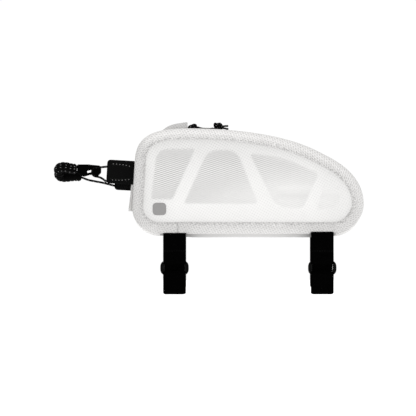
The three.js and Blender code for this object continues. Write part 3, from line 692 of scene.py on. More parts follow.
def braid_material(name, diameter, level, fleck):
    """A braided sleeve with a light tracer yarn. The run coordinates are metres along and round."""
    s = Shade(name)
    u, v, _ = s.axes(s.place("UV"))
    pitch = diameter * 0.62
    one = s.wave(s.plus(u, v), pitch)
    two = s.wave(s.minus(u, v), pitch)
    weave = s.math("MAXIMUM", one, two)
    wide = pitch * 4
    tracer = s.times(s.wave(s.plus(u, v), wide), s.wave(s.minus(u, v), wide))
    dots = s.spread(tracer, 0, 1, 0.72, 0.86)
    ground = s.ramp(weave, grey(level * 0.4), grey(level * 1.3))
    return s.set(
        Base_Color=s.mix(dots, ground, (*grey(fleck), 1)),
        Roughness=0.75,
        Specular_IOR_Level=0.03,
        Normal=s.bump(weave, diameter * 0.1, 0.8),
    )


# The outline

Edge = namedtuple("Edge", "place inward crown part")


def at_share(along, up):
    return Vector((FRONT_X + along * BODY_LENGTH, RIM_Z + up * BODY_HEIGHT))


def half_width(x):
    return FRONT_HALF_WIDTH + (REAR_HALF_WIDTH - FRONT_HALF_WIDTH) * (x - FRONT_X) / BODY_LENGTH


def fine_outline(step=1.9 * MM):
    """The outline's points at even steps, with the way inward and the crown of the gusset there."""
    edges = []
    start = OUTLINE_START
    for row in OUTLINE:
        a, d = at_share(start["along"], start["up"]), at_share(row["along"], row["up"])
        handles = row.get("handles")
        b = at_share(*handles[:2]) if handles else a.lerp(d, 1 / 3)
        c = at_share(*handles[2:]) if handles else a.lerp(d, 2 / 3)
        count = max(2, round(((b - a).length + (c - b).length + (d - c).length) / step))
        for k in range(count):
            t = k / count
            place = a * (1 - t) ** 3 + b * (3 * t * (1 - t) ** 2) + c * (3 * t**2 * (1 - t)) + d * t**3
            along = (b - a) * (1 - t) ** 2 + (c - b) * (2 * t * (1 - t)) + (d - c) * t**2
            along.normalize()
            eased = t * t * (3 - 2 * t)
            crown = (start["crown"] + (row["crown"] - start["crown"]) * eased) * BASE_CROWN
            edges.append(Edge(place, Vector((-along.y, along.x)), crown, row["part"]))
        start = row
    return edges


edges = fine_outline()


def bulge_at(inset):
    """The height of a side panel's dome over the side of the body, by the distance from the outline."""
    share = 0.2 * inset / BINDING_WIDTH
    if inset > BINDING_WIDTH:
        share = 0.2 + 0.8 * (inset - BINDING_WIDTH) / (BULGE_END - BINDING_WIDTH)
    return BULGE * (1 - (1 - min(share, 1)) ** 2)


def side_point(edge, inset, out, side, follows=True):
    place = edge.place + edge.inward * inset
    lift = bulge_at(inset) if follows else 0
    return Vector((place.x, side * (half_width(place.x) + lift + out), place.y))


def stretch(part):
    """The outline's points that a part owns, and the first point after them."""
    count = len(edges)
    first = next(k for k in range(count) if edges[k].part == part and edges[k - 1].part != part)
    out = []
    k = first
    while edges[k % count].part == part:
        out.append(edges[k % count])
        k += 1
    out.append(edges[k % count])
    return out


# Side panels


def distances(points, polygon):
    """Signed distances from points to a closed polygon in the plane, negative inside."""
    corners = np.array([(p.x, p.y) for p in polygon])
    best = np.full(len(points), 1e9)
    inside = np.zeros(len(points), dtype=bool)
    for k in range(len(corners)):
        a, b = corners[k], corners[(k + 1) % len(corners)]
        along = b - a
        share = np.clip(((points - a) @ along) / max(along @ along, 1e-18), 0, 1)
        best = np.minimum(best, np.linalg.norm(points - a - share[:, None] * along, axis=1))
        crosses = (a[1] > points[:, 1]) != (b[1] > points[:, 1])
        rise = along[1] if abs(along[1]) > 1e-12 else 1e-12
        hit = points[:, 0] < a[0] + (points[:, 1] - a[1]) * along[0] / rise
        inside ^= crosses & hit
    return np.where(inside, -best, best)


def window_shapes():
    shapes = []
    for window in WINDOWS:
        corners = [at_share(*corner) for corner in window["corners"]]
        radii = [share * BODY_HEIGHT for share in window["rounding"]]
        shapes.append(rounded_polygon(corners, radii))
    return shapes


def cloth_tones(along, up, depth, hollow):
    """The level, with painted shade in it, the weave's strength and the open share of the side cloth, read
    off the photo.

    along and up are shares of the body. depth is the way in from the outline, and hollow is the distance
    from the nearest window, negative inside it.
    """
    open_share = 1 - smoothstep(hollow, -1.5 * MM, 1.2 * MM)
    low_front = (1 - smoothstep(up, 0.2, 0.33)) * (1 - smoothstep(along, 0.26, 0.3))
    open_share *= 1 - 0.55 * low_front

    # Painted shade of the hollow inside, where it shows through the windows: darker towards the top and
    # front, with slanting streaks.
    slant = up * BODY_HEIGHT - (along * BODY_LENGTH) * 0.3
    streaks = np.sin(slant / (5.2 * MM)) * 0.6 + np.sin(slant / (9.7 * MM) + 1.3) * 0.8
    fade = smoothstep(0.75 - up, 0.0, 0.5)
    behind = 0.72 + fade * (0.02 + 0.14 * smoothstep(along, 0.12, 0.75)) + 0.016 * streaks * fade
    behind *= 0.9 + 0.02 * smoothstep(along, 0.45, 0.6)
    behind -= 0.02 * smoothstep(up, 0.62, 0.75) * (1 - smoothstep(along, 0.55, 0.68))
    behind *= 1 - 0.045 * smoothstep(along, 0.6, 0.75) * (1 - smoothstep(up, 0.3, 0.42))
    # A painted light band above a painted shade band, for folds at the rear.
    rear_fold_shading = smoothstep(along, 0.58, 0.66)
    behind += 0.03 * rear_fold_shading * np.exp(-(((up - 0.44) / 0.03) ** 2))
    behind -= 0.03 * rear_fold_shading * np.exp(-(((up - 0.36) / 0.025) ** 2))

    # Painted shade over the stiffener: darker at the top, front and nose, next to the binding and near the
    # bottom.
    top_shade = smoothstep(up, 0.35, 0.95)
    front_shade = 1 - smoothstep(along, 0.08, 0.2)
    nose_shade = smoothstep(along, 0.76, 0.9)
    backed_tone_and_shade = 0.83 - 0.1 * np.maximum(top_shade, 0.6 * front_shade) - 0.05 * nose_shade
    backed_tone_and_shade *= 1 - 0.06 * (1 - smoothstep(depth, 11 * MM, 18 * MM))
    backed_tone_and_shade *= 1 - 0.05 * (1 - smoothstep(up, 0.12, 0.3))
    behind += (backed_tone_and_shade - behind) * 0.55 * smoothstep(along, 0.8, 0.84)

    nose_end = smoothstep(along, 0.52, 0.68)
    clear = np.maximum(smoothstep(up, 0.4, 0.72) * (1 - 0.75 * nose_end), 1 - smoothstep(along, 0.16, 0.3))
    weave = 0.055 + 0.05 * top_shade + open_share * (0.03 + 0.3 * clear)
    return backed_tone_and_shade + (behind - backed_tone_and_shade) * open_share, weave, open_share


def side_cloths(material):
    """A fine grid over each side, domed, with the cloth drawn a little into the stiffener's windows."""
    cell = 1.3 * MM
    columns = int(BODY_LENGTH / cell) + 1
    rows = int(BODY_HEIGHT / cell) + 1
    xs = FRONT_X + np.arange(columns) * cell
    zs = RIM_Z + np.arange(rows) * cell
    grid = np.array([(x, z) for z in zs for x in xs])
    depth = -distances(grid, [e.place for e in edges])
    hollow = np.minimum.reduce([distances(grid, shape) for shape in window_shapes()])
    drawn = 0.55 * MM * (1 - smoothstep(hollow, -5 * MM, 0.5 * MM))
    along = (grid[:, 0] - FRONT_X) / BODY_LENGTH
    up = (grid[:, 1] - RIM_Z) / BODY_HEIGHT
    tones = cloth_tones(along, up, depth, hollow)
    keep = depth > 3 * MM
    number = -np.ones(len(grid), dtype=int)
    number[keep] = np.arange(keep.sum())
    faces = []
    for r in range(rows - 1):
        for c in range(columns - 1):
            quad = [r * columns + c, r * columns + c + 1, (r + 1) * columns + c + 1, (r + 1) * columns + c]
            if all(number[k] >= 0 for k in quad):
                faces.append([int(number[k]) for k in quad])
    for name, side in SIDES:
        vertices = []
        for k in np.flatnonzero(keep):
            x, z = grid[k]
            soft = 0.25 * MM * wobble(x * 22, side * 3, z * 22)
            out = bulge_at(depth[k]) - drawn[k] + soft
            vertices.append((x, side * (half_width(x) + out), z))
        obj = add_mesh(f"side_cloth_{name}", vertices, faces, material, [f"side_panel_{name}"])
        paint(obj.data, "backing_and_shade", [tone[keep] for tone in tones])


# Rows of the badge's share of its plan and its height, in millimetres
BADGE_PROFILE = [
    (1.0, 0.05),
    (1.0, 0.4),
    (0.975, 0.62),
    (0.93, 0.72),
    (0.86, 0.62),
    (0.8, 0.58),
    (0.4, 0.62),
    (0.02, 0.64),
]


def badge(material):
    """A bare moulded patch with a raised soft edge."""
    low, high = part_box("badge")
    centre = at_share(*BADGE_PLACE)
    shape = rounded_rectangle(high.x - low.x, high.z - low.z, BADGE_CORNER, centre, 10)
    outline = [e.place for e in edges[::3]]
    rings = []
    for share, height in BADGE_PROFILE:
        ring = []
        for corner in shape:
            place = centre + (corner - centre) * share
            depth = -distances(np.array([place]), outline)[0]
            ring.append(Vector((place.x, -(half_width(place.x) + bulge_at(depth) + height * MM), place.y)))
        rings.append(ring)
    add_skin("badge_patch", rings, material, ["badge"])


# Bindings, gusset and base

# Rows of the way in from the outline and out of the side, in millimetres, and whether the dome is followed
BINDING_SECTION = [
    (1.2, -4.0, False),
    (0.35, -4.0, False),
    (0.05, -3.7, False),
    (0.0, -2.6, False),
    (0.0, -1.3, False),
    (0.12, -0.5, False),
    (0.45, 0.35, False),
    (1.1, 0.95, True),
    (2.0, 1.3, True),
    (3.2, 1.45, True),
    (4.4, 1.4, True),
    (5.4, 1.15, True),
    (6.3, 0.9, True),
    (7.2, 0.85, True),
    (8.3, 0.95, True),
    (9.3, 0.88, True),
    (10.2, 0.72, True),
    (10.8, 0.75, True),
    (11.3, 0.5, True),
    (11.3, 0.15, True),
    (8.0, 0.1, True),
    (1.2, 0.2, False),
]
# How dark a row of the section is, by its way in: the seam's dark knit, with painted shade in its groove
SEAM_SHADE = {6.3: 0.25, 7.2: 0.35, 8.3: 0.45, 9.3: 0.75, 10.2: 1, 10.8: 0.9, 11.3: 0.3}
BINDING_SEAMS = (("rim", 6.2, 0.8), ("inner", 10.2, 0.8))
RIM_REACH = 5  # millimetres in from the outline to where the binding's flat half begins
WANDER_START = 8.5  # the inner edge wanders a little from here on
STRAP_LIFT = {"front": 1.2 * MM, "rear": 2.4 * MM}
STRAP_SPANS = {place: tuple(p.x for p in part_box(f"{place}_strap_long")) for place in STRAP_LIFT}


def widened(inset, edge):
    """A way in from the outline. The binding's flat half is widest at the bottom and rear."""
    wide = 1 + 0.14 * min(1, max(edge.inward.y, 0) + max(-edge.inward.x, 0))
    return RIM_REACH + (inset - RIM_REACH) * wide if inset > RIM_REACH else inset


def strap_nearness(x, reach):
    """How near a place is to a strap's edge, from 0 to 1, falling off over a reach."""
    best = 0.0
    for low, high in STRAP_SPANS.values():
        away = max(low - x, x - high, 0)
        best = max(best, math.exp(-away / reach))
    return best


def strap_notch(x):
    """How far a strap's edge lifts the bindings' lower rim."""
    lift = 0.0
    for place, height in STRAP_LIFT.items():
        low, high = STRAP_SPANS[place]
        inside = smoothstep(x, low - 2 * MM, low + 0.5 * MM)
        inside *= 1 - smoothstep(x, high - 0.5 * MM, high + 2 * MM)
        lift = max(lift, height * inside)
    return lift


def bindings(material, thread):
    """A folded knit band round each side: a rounded rim and a flat inner half with its seam."""
    for name, side in SIDES:
        rings = []
        seam_and_shade = []
        for k, edge in enumerate(edges):
            swell = 1 + 0.1 * wobble(k * 0.31, side * 5, 0)
            wander = 0.25 * MM * wobble(k * 0.55, side * 9, 4)
            low_part = max(edge.inward.y, 0)
            front_part, rear_part = max(edge.inward.x, 0), max(-edge.inward.x, 0)
            notch = strap_notch(edge.place.x) * low_part
            # Painted shade: darker at the front, along the bottom and at the rear, and most near the straps.
            shade = 0.72 * front_part**2 + 0.35 * low_part + 0.42 * rear_part
            shade += 0.4 * low_part * strap_nearness(edge.place.x, 12 * MM)
            ring = []
            for inset, out, follows in BINDING_SECTION:
                across = widened(inset, edge)
                inner = wander if inset > WANDER_START else 0
                lift = out * swell if out > 0 else out
                p = side_point(edge, across * MM + inner, lift * MM, side, follows)
                p.z += notch * max(1 - inset / RIM_REACH, 0)
                ring.append(p)
                seam = SEAM_SHADE.get(inset, 0) if follows else 0
                seam_and_shade.append((seam, shade * (1 - 0.5 * min(inset / 11, 1))))
            rings.append(ring)
        node = f"binding_{name}"
        add_skin(f"binding_band_{name}", rings, material, [node], seam_and_shade, closed_along=True)
        for row, inset, out in BINDING_SEAMS:
            stitches = seam_line(inset, out, side)
            stitch_mesh(f"binding_{row}_stitches_{name}", stitches, SEAM_STITCH, thread)


def seam_line(inset, out, side):
    """Stitches round a binding, by their way in from the outline and out of the side in millimetres."""
    line = [side_point(e, widened(inset, e) * MM, out * MM, side) for e in edges]
    line = even_line(line + line[:1], STITCH_PITCH)
    return [(p, along, Vector((0, side, 0))) for p, along in list(zip(line, tangents(line)))[1:-1]]


def crown_share(across):
    return np.interp(across, *zip(*CROWN_TABLE))


def soft_crown(across):
    """The crown's shares, rounded over between the table's rows."""
    width = 0.14
    if abs(across) >= 1 - width:
        return crown_share(across)
    return sum(crown_share(across + d * width) for d in (-1, -0.5, 0, 0.5, 1)) / 5


def wall_reach(x):
    """Half the width between the bindings' lips."""
    return half_width(x) - BINDING_LIP - GAP


def wall_point(edge, across, raise_by=0.0, depth=0.0):
    """A point of the wall across the bag. across runs from -1 to 1 between the bindings' lips."""
    inset = SEAM_INSET - raise_by - soft_crown(across) * edge.crown + depth
    place = edge.place + edge.inward * inset
    return Vector((place.x, across * wall_reach(place.x), place.y))


def wall_rings(points, ripple):
    """The wall's two faces across the bag. They reach in under the bindings, so that no gap shows."""
    columns, reach = 26, 1.12
    rings = []
    for k, edge in enumerate(points):
        outer, inner = [], []
        for c in range(columns + 1):
            across = reach * (2 * c / columns - 1)
            wave = ripple * wobble(k * 0.12, across * 2.2, 1.7)
            outer.append(wall_point(edge, across, raise_by=wave))
            inner.append(wall_point(edge, across, depth=WALL))
        rings.append(outer + inner[::-1])
    return rings


# Zip

ZIP_FRONT_INSET = 35.6 * MM
ZIP_REAR_INSET = 55.8 * MM
ZIP_FRONT_X = FRONT_X + ZIP_FRONT_INSET
ZIP_REAR_X = FRONT_X + BODY_LENGTH - ZIP_REAR_INSET
ZIP_TAPE_WIDTH = 16 * MM
COIL_WIDTH = 5.4 * MM


def top_edges():
    """The outline over the top of the bag, from front to rear."""
    above = [e for e in edges if e.place.y > RIM_Z + BODY_HEIGHT * 0.5 and e.inward.y < -0.2]
    return sorted(above, key=lambda e: e.place.x)


def top_at(x):
    """The height of the top of the bag on its middle plane."""
    line = [wall_point(e, 0) for e in top_edges()]
    return np.interp(x, [p.x for p in line], [p.z for p in line])


def gusset(material, thread):
    """The knit wall round the front, top and nose. The zip's tape lies in a slot in its top."""
    points = stretch("gusset")
    rings = wall_rings(points, 0.35 * MM)
    obj = add_skin("gusset_cloth", rings, material, ["gusset"])
    low = Vector((ZIP_FRONT_X - GAP, -ZIP_TAPE_WIDTH / 2 - GAP, RIM_Z + BODY_HEIGHT * 0.6))
    high = Vector((ZIP_REAR_X + GAP, ZIP_TAPE_WIDTH / 2 + GAP, RIM_Z + BODY_HEIGHT * 1.2))
    cut_box(obj, low, high)
    stitches = []
    overrun = 6 * MM
    for side in (-1, 1):
        line = []
        for e in top_edges():
            x = wall_point(e, 0).x
            if ZIP_FRONT_X - overrun < x < ZIP_REAR_X + overrun:
                share = side * (ZIP_TAPE_WIDTH / 2 + 2.2 * MM) / wall_reach(x)
                line.append(wall_point(e, share, raise_by=0.12 * MM))
        stitches += stitch_places(line, STITCH_PITCH, lambda place, along: over(along))
    stitch_mesh("zip_seam_stitches", stitches, SEAM_STITCH, thread)


def cut_box(obj, low, high, turn=0.0):
    """Takes a box out of a piece's mesh. turn swings it in the side view."""
    work = bmesh.new()
    bmesh.ops.create_cube(work, size=1)
    middle, swing = (low + high) / 2, Matrix.Rotation(turn, 3, "Y")
    for v in work.verts:
        v.co = middle + swing @ Vector((v.co[k] * (high[k] - low[k]) for k in range(3)))
    mesh = bpy.data.meshes.new("cutter")
    work.to_mesh(mesh)
    work.free()
    cutter = add_object("cutter", mesh)
    change = obj.modifiers.new("slot", "BOOLEAN")
    change.operation = "DIFFERENCE"
    change.solver = "EXACT"
    change.object = cutter
    apply_modifiers(obj)
    bpy.data.objects.remove(cutter)
    bpy.data.meshes.remove(mesh)


def apply_modifiers(obj):
    graph = bpy.context.evaluated_depsgraph_get()
    made = bpy.data.meshes.new_from_object(obj.evaluated_get(graph))
    obj.modifiers.clear()
    old = obj.data
    obj.data = made
    bpy.data.meshes.remove(old)


def base(material):
    """The cloth under the bag, with painted shade a little all over and deepest towards the straps."""
    points = stretch("base")
    rings = wall_rings(points, 0.15 * MM)
    seam_and_shade = []
    for edge, ring in zip(points, rings):
        # Painted shade: a little all over, deepest near the straps.
        seam_and_shade += [(0, 0.15 + 0.85 * strap_nearness(edge.place.x, 14 * MM))] * len(ring)
    add_skin("base_cloth", rings, material, ["base_panel"], seam_and_shade)


def zip_tape(material):
    """The tape in its slot, with a ridge along each side of the teeth."""
    points = [e for e in top_edges() if ZIP_FRONT_X + 0.2 * MM < e.place.x < ZIP_REAR_X - 0.2 * MM]
    rings = []
    columns, ridge_y = 20, 4.2 * MM
    for e in points:
        reach = wall_reach(e.place.x)
        outer, inner = [], []
        for c in range(columns + 1):
            y = (-0.5 + c / columns) * ZIP_TAPE_WIDTH
            ridge = 0.35 * MM * math.exp(-(((abs(y) - ridge_y) / (0.6 * MM)) ** 2))
            outer.append(wall_point(e, y / reach, raise_by=ridge - 0.1 * MM))
            inner.append(wall_point(e, y / reach, depth=1.0 * MM))
        rings.append(outer + inner[::-1])
    add_skin("zip_tape_cloth", rings, material, ["zip_tape"])


def zip_teeth(material):
    """Two rows of coil teeth that mesh along the middle."""
    line = [wall_point(e, 0, raise_by=0.55 * MM) for e in top_edges()]
    front = ZIP_FRONT_X + ZIP_TAPE_WIDTH / 2
    rear = ZIP_REAR_X - ZIP_TAPE_WIDTH / 4
    line = even_line([p for p in line if front < p.x < rear], 0.72 * MM)
    places = []
    for k, along in list(enumerate(tangents(line)))[1:-1]:
        side = -1 if k % 2 else 1
        place = line[k] + Vector((0, side * COIL_WIDTH * 0.19, 0))
        places.append((place, Vector((0, 1, 0)), over(along)))
    teeth = stitch_mesh("zip_teeth", places, (COIL_WIDTH * 0.62, 1.15 * MM), material)
    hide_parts("zip_coil")


# Rows of the garage's share of its length, its height and its width
GARAGE_TABLE = [
    (0, 0.2, 0.7),
    (0.08, 0.36, 0.76),
    (0.16, 0.5, 0.81),
    (0.26, 0.63, 0.86),
    (0.38, 0.74, 0.905),
    (0.52, 0.83, 0.94),
    (0.68, 0.9, 0.965),
    (0.84, 0.95, 0.985),
    (1, 1, 1),
]


def zip_garage(material, thread):
    """An arched fabric flap with a turned hem at its mouth and stitches along it."""
    low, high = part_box("zip_garage")
    length, half = high.x - low.x, (high.y - low.y) / 2
    lift = 0.54 * MM
    height = high.z - top_at(high.x) - lift
    steps = 30

    def arch(share, rise, wide, inward):
        x = low.x + length * share
        ground = top_at(x) + lift
        points = []
        for k in range(steps + 1):
            a = math.pi * k / steps
            y = -math.cos(a) * (half * wide - inward)
            ripple = 0.25 * MM * wobble(share * 3, k * 0.2, 2)
            z = ground + math.sin(a) ** 0.8 * (height * rise - inward) + ripple * math.sin(a)
            points.append(Vector((x, y, z)))
        return points

    rings = [arch(*row, 0) + arch(*row, 1.2 * MM)[::-1] for row in GARAGE_TABLE]
    add_skin("garage_flap", rings, material, ["zip_garage"])
    hem = arch(0.985, 0.985, 0.985, 0.5 * MM)
    add_tube("garage_hem", hem, 0.8 * MM, material, sides=10)
    middle_z = top_at(high.x)

    def outward(place, along):
        return Vector((0, place.y, place.z - middle_z)).normalized()

    stitches = stitch_places(arch(0.86, 0.95, 0.985, -0.1 * MM)[2:-2], 2.4 * MM, outward)
    stitch_mesh("garage_stitches", stitches, (1.6 * MM, 0.5 * MM), thread)


def zip_slider(material):
    """The slider: a waisted body with flanges over the teeth, and a bridge over the cord."""
    low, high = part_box("zip_slider")
    middle_x = (low.x + high.x) / 2
    length, width = high.x - low.x - 0.4 * MM, 8.2 * MM
    slope = (top_at(middle_x + 3 * MM) - top_at(middle_x - 3 * MM)) / (6 * MM)
    base = top_at(middle_x) + COIL_HEIGHT + 2 * GAP

    def place(x, y, z):
        return Vector((middle_x + x, y, base + z + x * slope))

    corners = [(-0.5, -0.36), (-0.1, -0.5), (0.5, -0.34), (0.5, 0.34), (-0.1, 0.5), (-0.5, 0.36)]
    plan = rounded_polygon([(x * length, y * width) for x, y in corners], [1.3 * MM] * 6, 6)
    profile = [(0.93, -0.5), (0.99, -0.3), (1, 0), (1, 0.9), (0.96, 1.35), (0.86, 1.6), (0.5, 1.7)]
    rings = []
    for share, height in profile:
        rings.append([place(p.x * share, p.y * share, height * MM) for p in plan])
    add_skin("slider_body", rings, material, ["zip_slider"])
    top = (high.z - base) / MM - 0.75
    foot = length / MM * 0.42
    half_wide, half_thick = 1.7 * MM, 0.72 * MM
    bend = [(-1, 1.2), (-1.02, 2.3), (-0.7, top - 1.5), (-0.1, top - 0.9), (0.25, top), (0.7, top)]
    bend += [(1, top - 0.9), (1, 1.2)]
    line = eased_line([Vector((x * foot * MM, 0, z * MM)) for x, z in bend])
    rings = []
    for p, along in zip(line, tangents(line)):
        ring = []
        for turn in angles(14):
            side = abs(math.cos(turn)) ** 0.6 * math.copysign(1, math.cos(turn)) * half_wide
            q = p + over(along) * (math.sin(turn) * half_thick)
            ring.append(place(q.x, side, q.z))
        rings.append(ring)
    add_skin("slider_bridge", rings, material)


def eased_line(path, rounds=3):
    """Cuts the corners of a line in space, with its ends kept."""
    for _ in range(rounds):
        out = [path[0]]
        for a, b in zip(path, path[1:]):
            out += [a.lerp(b, 0.25), a.lerp(b, 0.75)]
        path = out + [path[-1]]
    return path


def cord_tube(name, route, diameter, material, replaces):
    line = smooth_line([Vector(p) * MM for p in route], 0.7 * MM)
    return add_tube(name, line, diameter / 2, material, replaces, sides=14), line


def pull_line():
    base_height = COIL_HEIGHT + GAP
    return [(x, y, (top_at(x * MM) + base_height) / MM + lift) for x, y, lift in PULL_ROUTE]


def oval(centre, lean, wide, high, count):
    """A closed loop across the bag, leaning along it."""
    turns = angles(count)
    return [centre + Vector((math.sin(a) * lean, math.cos(a) * wide, math.sin(a) * high)) for a in turns]


def knot_line(centre, size, count=90):
    """A trefoil knot, squeezed into the given box."""
    line = []
    for t in angles(count):
        x = math.sin(t) + 2 * math.sin(2 * t)
        y = math.cos(t) - 2 * math.cos(2 * t)
        z = -math.sin(3 * t)
        line.append(centre + Vector((x / 3 * size[0], y / 3 * size[1], z * size[2])))
    return line


# The cord's turns round the slider's bridge: place along it, depth of the middle under its top, half height
HITCHES = [
    ("front", 0.26, 3.5, 0.9),
    ("middle", 0.45, 3.1, 1.2),
    ("rear", 0.64, 2.6, 1.6),
    ("last", 0.8, 3.0, 1.3),
]


def zip_pull(material):
    """The doubled cord with its hitch at the slider, its knot and its two cut ends."""
    cord, line = cord_tube("pull_braid", pull_line(), PULL_DIAMETER, material, ["pull_cord"])
    low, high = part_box("pull_knot")
    middle = (low + high) / 2 + Vector((0, 0, 0.5 * MM))
    girth = 1.25 * MM
    room = (high - low) / 2 - Vector((1, 1, 1)) * girth
    knot = knot_line(middle, room)
    pieces = [add_tube("pull_knot_braid", knot, girth, material, ["pull_knot"], closed=True)]
    wrap = oval(middle - Vector((1.2 * MM, 0, 0)), 0.9 * MM, room.y * 0.8, room.z, 40)
    pieces.append(add_tube("pull_knot_wrap", wrap, girth * 0.9, material, closed=True))
    tail = Vector(line[0])
    under = [tail + Vector((-0.8 * MM, 0, -0.2 * MM)), tail + Vector((3 * MM, 0.2 * MM, -0.5 * MM))]
    under.append(tail + Vector((8.6 * MM, 0.6 * MM, -0.75 * MM)))
    under = smooth_line(under, 0.5 * MM)
    pieces.append(add_tube("pull_knot_turn", under, PULL_DIAMETER / 2 * 0.98, material))
    slider_low, slider_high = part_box("zip_slider")
    for name, x, drop, reach in HITCHES:
        at = Vector((slider_low.x + (slider_high.x - slider_low.x) * x, 0, slider_high.z - drop * MM))
        loop = oval(at, 0.5 * MM, 2.4 * MM, reach * MM, 32)
        hitch = add_tube(f"pull_hitch_{name}", loop, PULL_DIAMETER / 2 * 0.86, material, closed=True)
        pieces.append(hitch)

    def flare(share):
        swell = 0.16 * smoothstep(share, 0.8, 0.97)
        return PULL_DIAMETER / 2 * (0.95 + swell - 0.35 * smoothstep(share, 0.97, 1))

    for name, side in SIDES:
        low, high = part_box(f"pull_tail_{name}")
        mid_z = (low.z + high.z) / 2
        rise = 1.4 * MM if side < 0 else 0
        start = Vector((low.x - 2.5 * MM, side * 0.9 * MM, mid_z + (middle.z - mid_z) * 0.4))
        end = Vector((high.x - 0.3 * MM, side * 2.4 * MM, mid_z + rise))
        path = smooth_line([start, start.lerp(end, 0.5) + Vector((0, 0, 0.3 * MM)), end], 0.5 * MM)
        pieces.append(add_tube(f"pull_end_{name}", path, flare, material, [f"pull_tail_{name}"]))


# Elastic cord


def grip_line():
    """The sleeve's middle line, drawn a little towards the middle of its loop, so its two halves meet."""
    points = [p for p in CORD_ROUTE if p[0] <= (GRIP_START_X if p[1] > 0 else GRIP_END_X)]
    line = []
    for p in smooth_line([Vector(p) * MM for p in points], 0.35 * MM):
        inward = Vector((max(p.x, GRIP_BEND_X), p.y, GRIP_MIDDLE_Z)) - p
        dent = 0
        if p.x < GRIP_BEND_X:
            dent = GRIP_DENT * math.exp(-(((p.z - GRIP_MIDDLE_Z) / GRIP_DENT_REACH) ** 2))
        line.append(p + inward.normalized() * min(inward.length, GRIP_CLOSING) + Vector((dent, 0, 0)))
    return line


def cord_grip(material, rib_highlight_material):
    """A ribbed sleeve, with three rows of light dots on its outer side: painted highlights on its ribs."""
    line = grip_line()
    length = line_length(line)
    ribs = round(length / GRIP_PITCH)
    crest, root = GRIP_DIAMETER / 2 + GRIP_CLOSING, GRIP_ROOT / 2 + GRIP_CLOSING + GRIP_FILL

    def radius(share):
        phase = (share * ribs) % 1
        bump = smoothstep(phase, 0.0, 0.26) * (1 - smoothstep(phase, 0.66, 0.92))
        end = min(share, 1 - share) * length
        tip = math.sqrt(min(end / GRIP_TIP, 1))
        return (root + (crest - root) * bump) * (0.6 + 0.4 * tip)

    grip = add_tube("grip_sleeve", line, radius, material, ["cord_grip"], sides=24)
    # Light dots where the ribs would catch the light: painted highlights.
    dots = []
    count = len(line)
    for rib in range(ribs):
        k = min(int((rib + 0.46) / ribs * (count - 1)), count - 2)
        along = (line[k + 1] - line[k]).normalized()
        out = Vector((min(line[k].x - GRIP_BEND_X, 0), line[k].y, 0))
        out = (out - along * out.dot(along)).normalized()
        down = along.cross(out)
        for degrees in (26, -2, -47):
            turn = math.radians(degrees)
            up = out * math.cos(turn) - down * math.sin(turn)
            dots.append((line[k] + up * (crest - 0.12 * MM), along, up))
    dot = stitch_mesh("grip_rib_highlights", dots, (1.5 * MM, 0.85 * MM), rib_highlight_material)
    return grip, dot


def cord_roots(material):
    """The cords' ends where they are sewn into the tabs' edges."""
    pieces = []
    for name, route in (("long", CORD_ROUTE), ("upper", LOOP_ROUTE), ("lower", LOOP_ROUTE[::-1])):
        end, before = Vector(route[0]) * MM, Vector(route[1]) * MM
        out = (end - before).normalized()
        line = even_line([before.lerp(end, 0.6), end + out * 1.6 * MM], 0.4 * MM)
        root = add_tube(f"cord_root_{name}", line, CORD_DIAMETER / 2 + 0.04 * MM, material, sides=14)
        pieces.append(root)
    return pieces


def side_plate_rings(shape, near, far, edge):
    """Rings of a plate in the side view between two places across the bag, with rounded edges."""
    centre = sum(shape, Vector((0, 0))) / len(shape)
    normals = [Vector((along.y, -along.x)) for along in tangents(shape, closed=True)]
    sign = 1 if sum((p - centre).dot(n) for p, n in zip(shape, normals)) > 0 else -1
    profile = [(0.5, 0.0), (0.16, 0.12), (0.0, 0.45), (0.0, 1.0)]

    def ring(inset, y):
        pairs = zip(shape, normals)
        return [Vector((p.x - n.x * sign * inset, y, p.y - n.y * sign * inset)) for p, n in pairs]

    rings = [ring(inset * edge, near + depth * edge) for inset, depth in profile]
    return rings + [ring(inset * edge, far - depth * edge) for inset, depth in reversed(profile)]


# The hook, as the part's source has it
HOOK_HEIGHT = 9.4 * MM
HOOK_WALL = 5.6 * MM
HOOK_CHIN = HOOK_HEIGHT * 0.5
HOOK_Y = -9 * MM
HOOK_Z = 72.9 * MM
PLATE_WALL = 3 * MM
POST = Vector((-159.6, -11, 68.7)) * MM
POST_RADIUS = 3.15 * MM
EYE_LOW = Vector((-169.4, -20, 68.3)) * MM
EYE_HIGH = Vector((-164.9, 0, 70.5)) * MM
EYE_TURN = math.radians(-14)

# Rows of the headed post's radius and depth from its face, in millimetres
POST_PROFILE = [
    (0.3, -1.1),
    (2.4, -1.1),
    (3.6, -0.8),
    (4.2, -0.35),
    (4.25, -0.1),
    (4.0, 0.0),
    (3.15, 0.05),
    (3.15, 3.4),
]


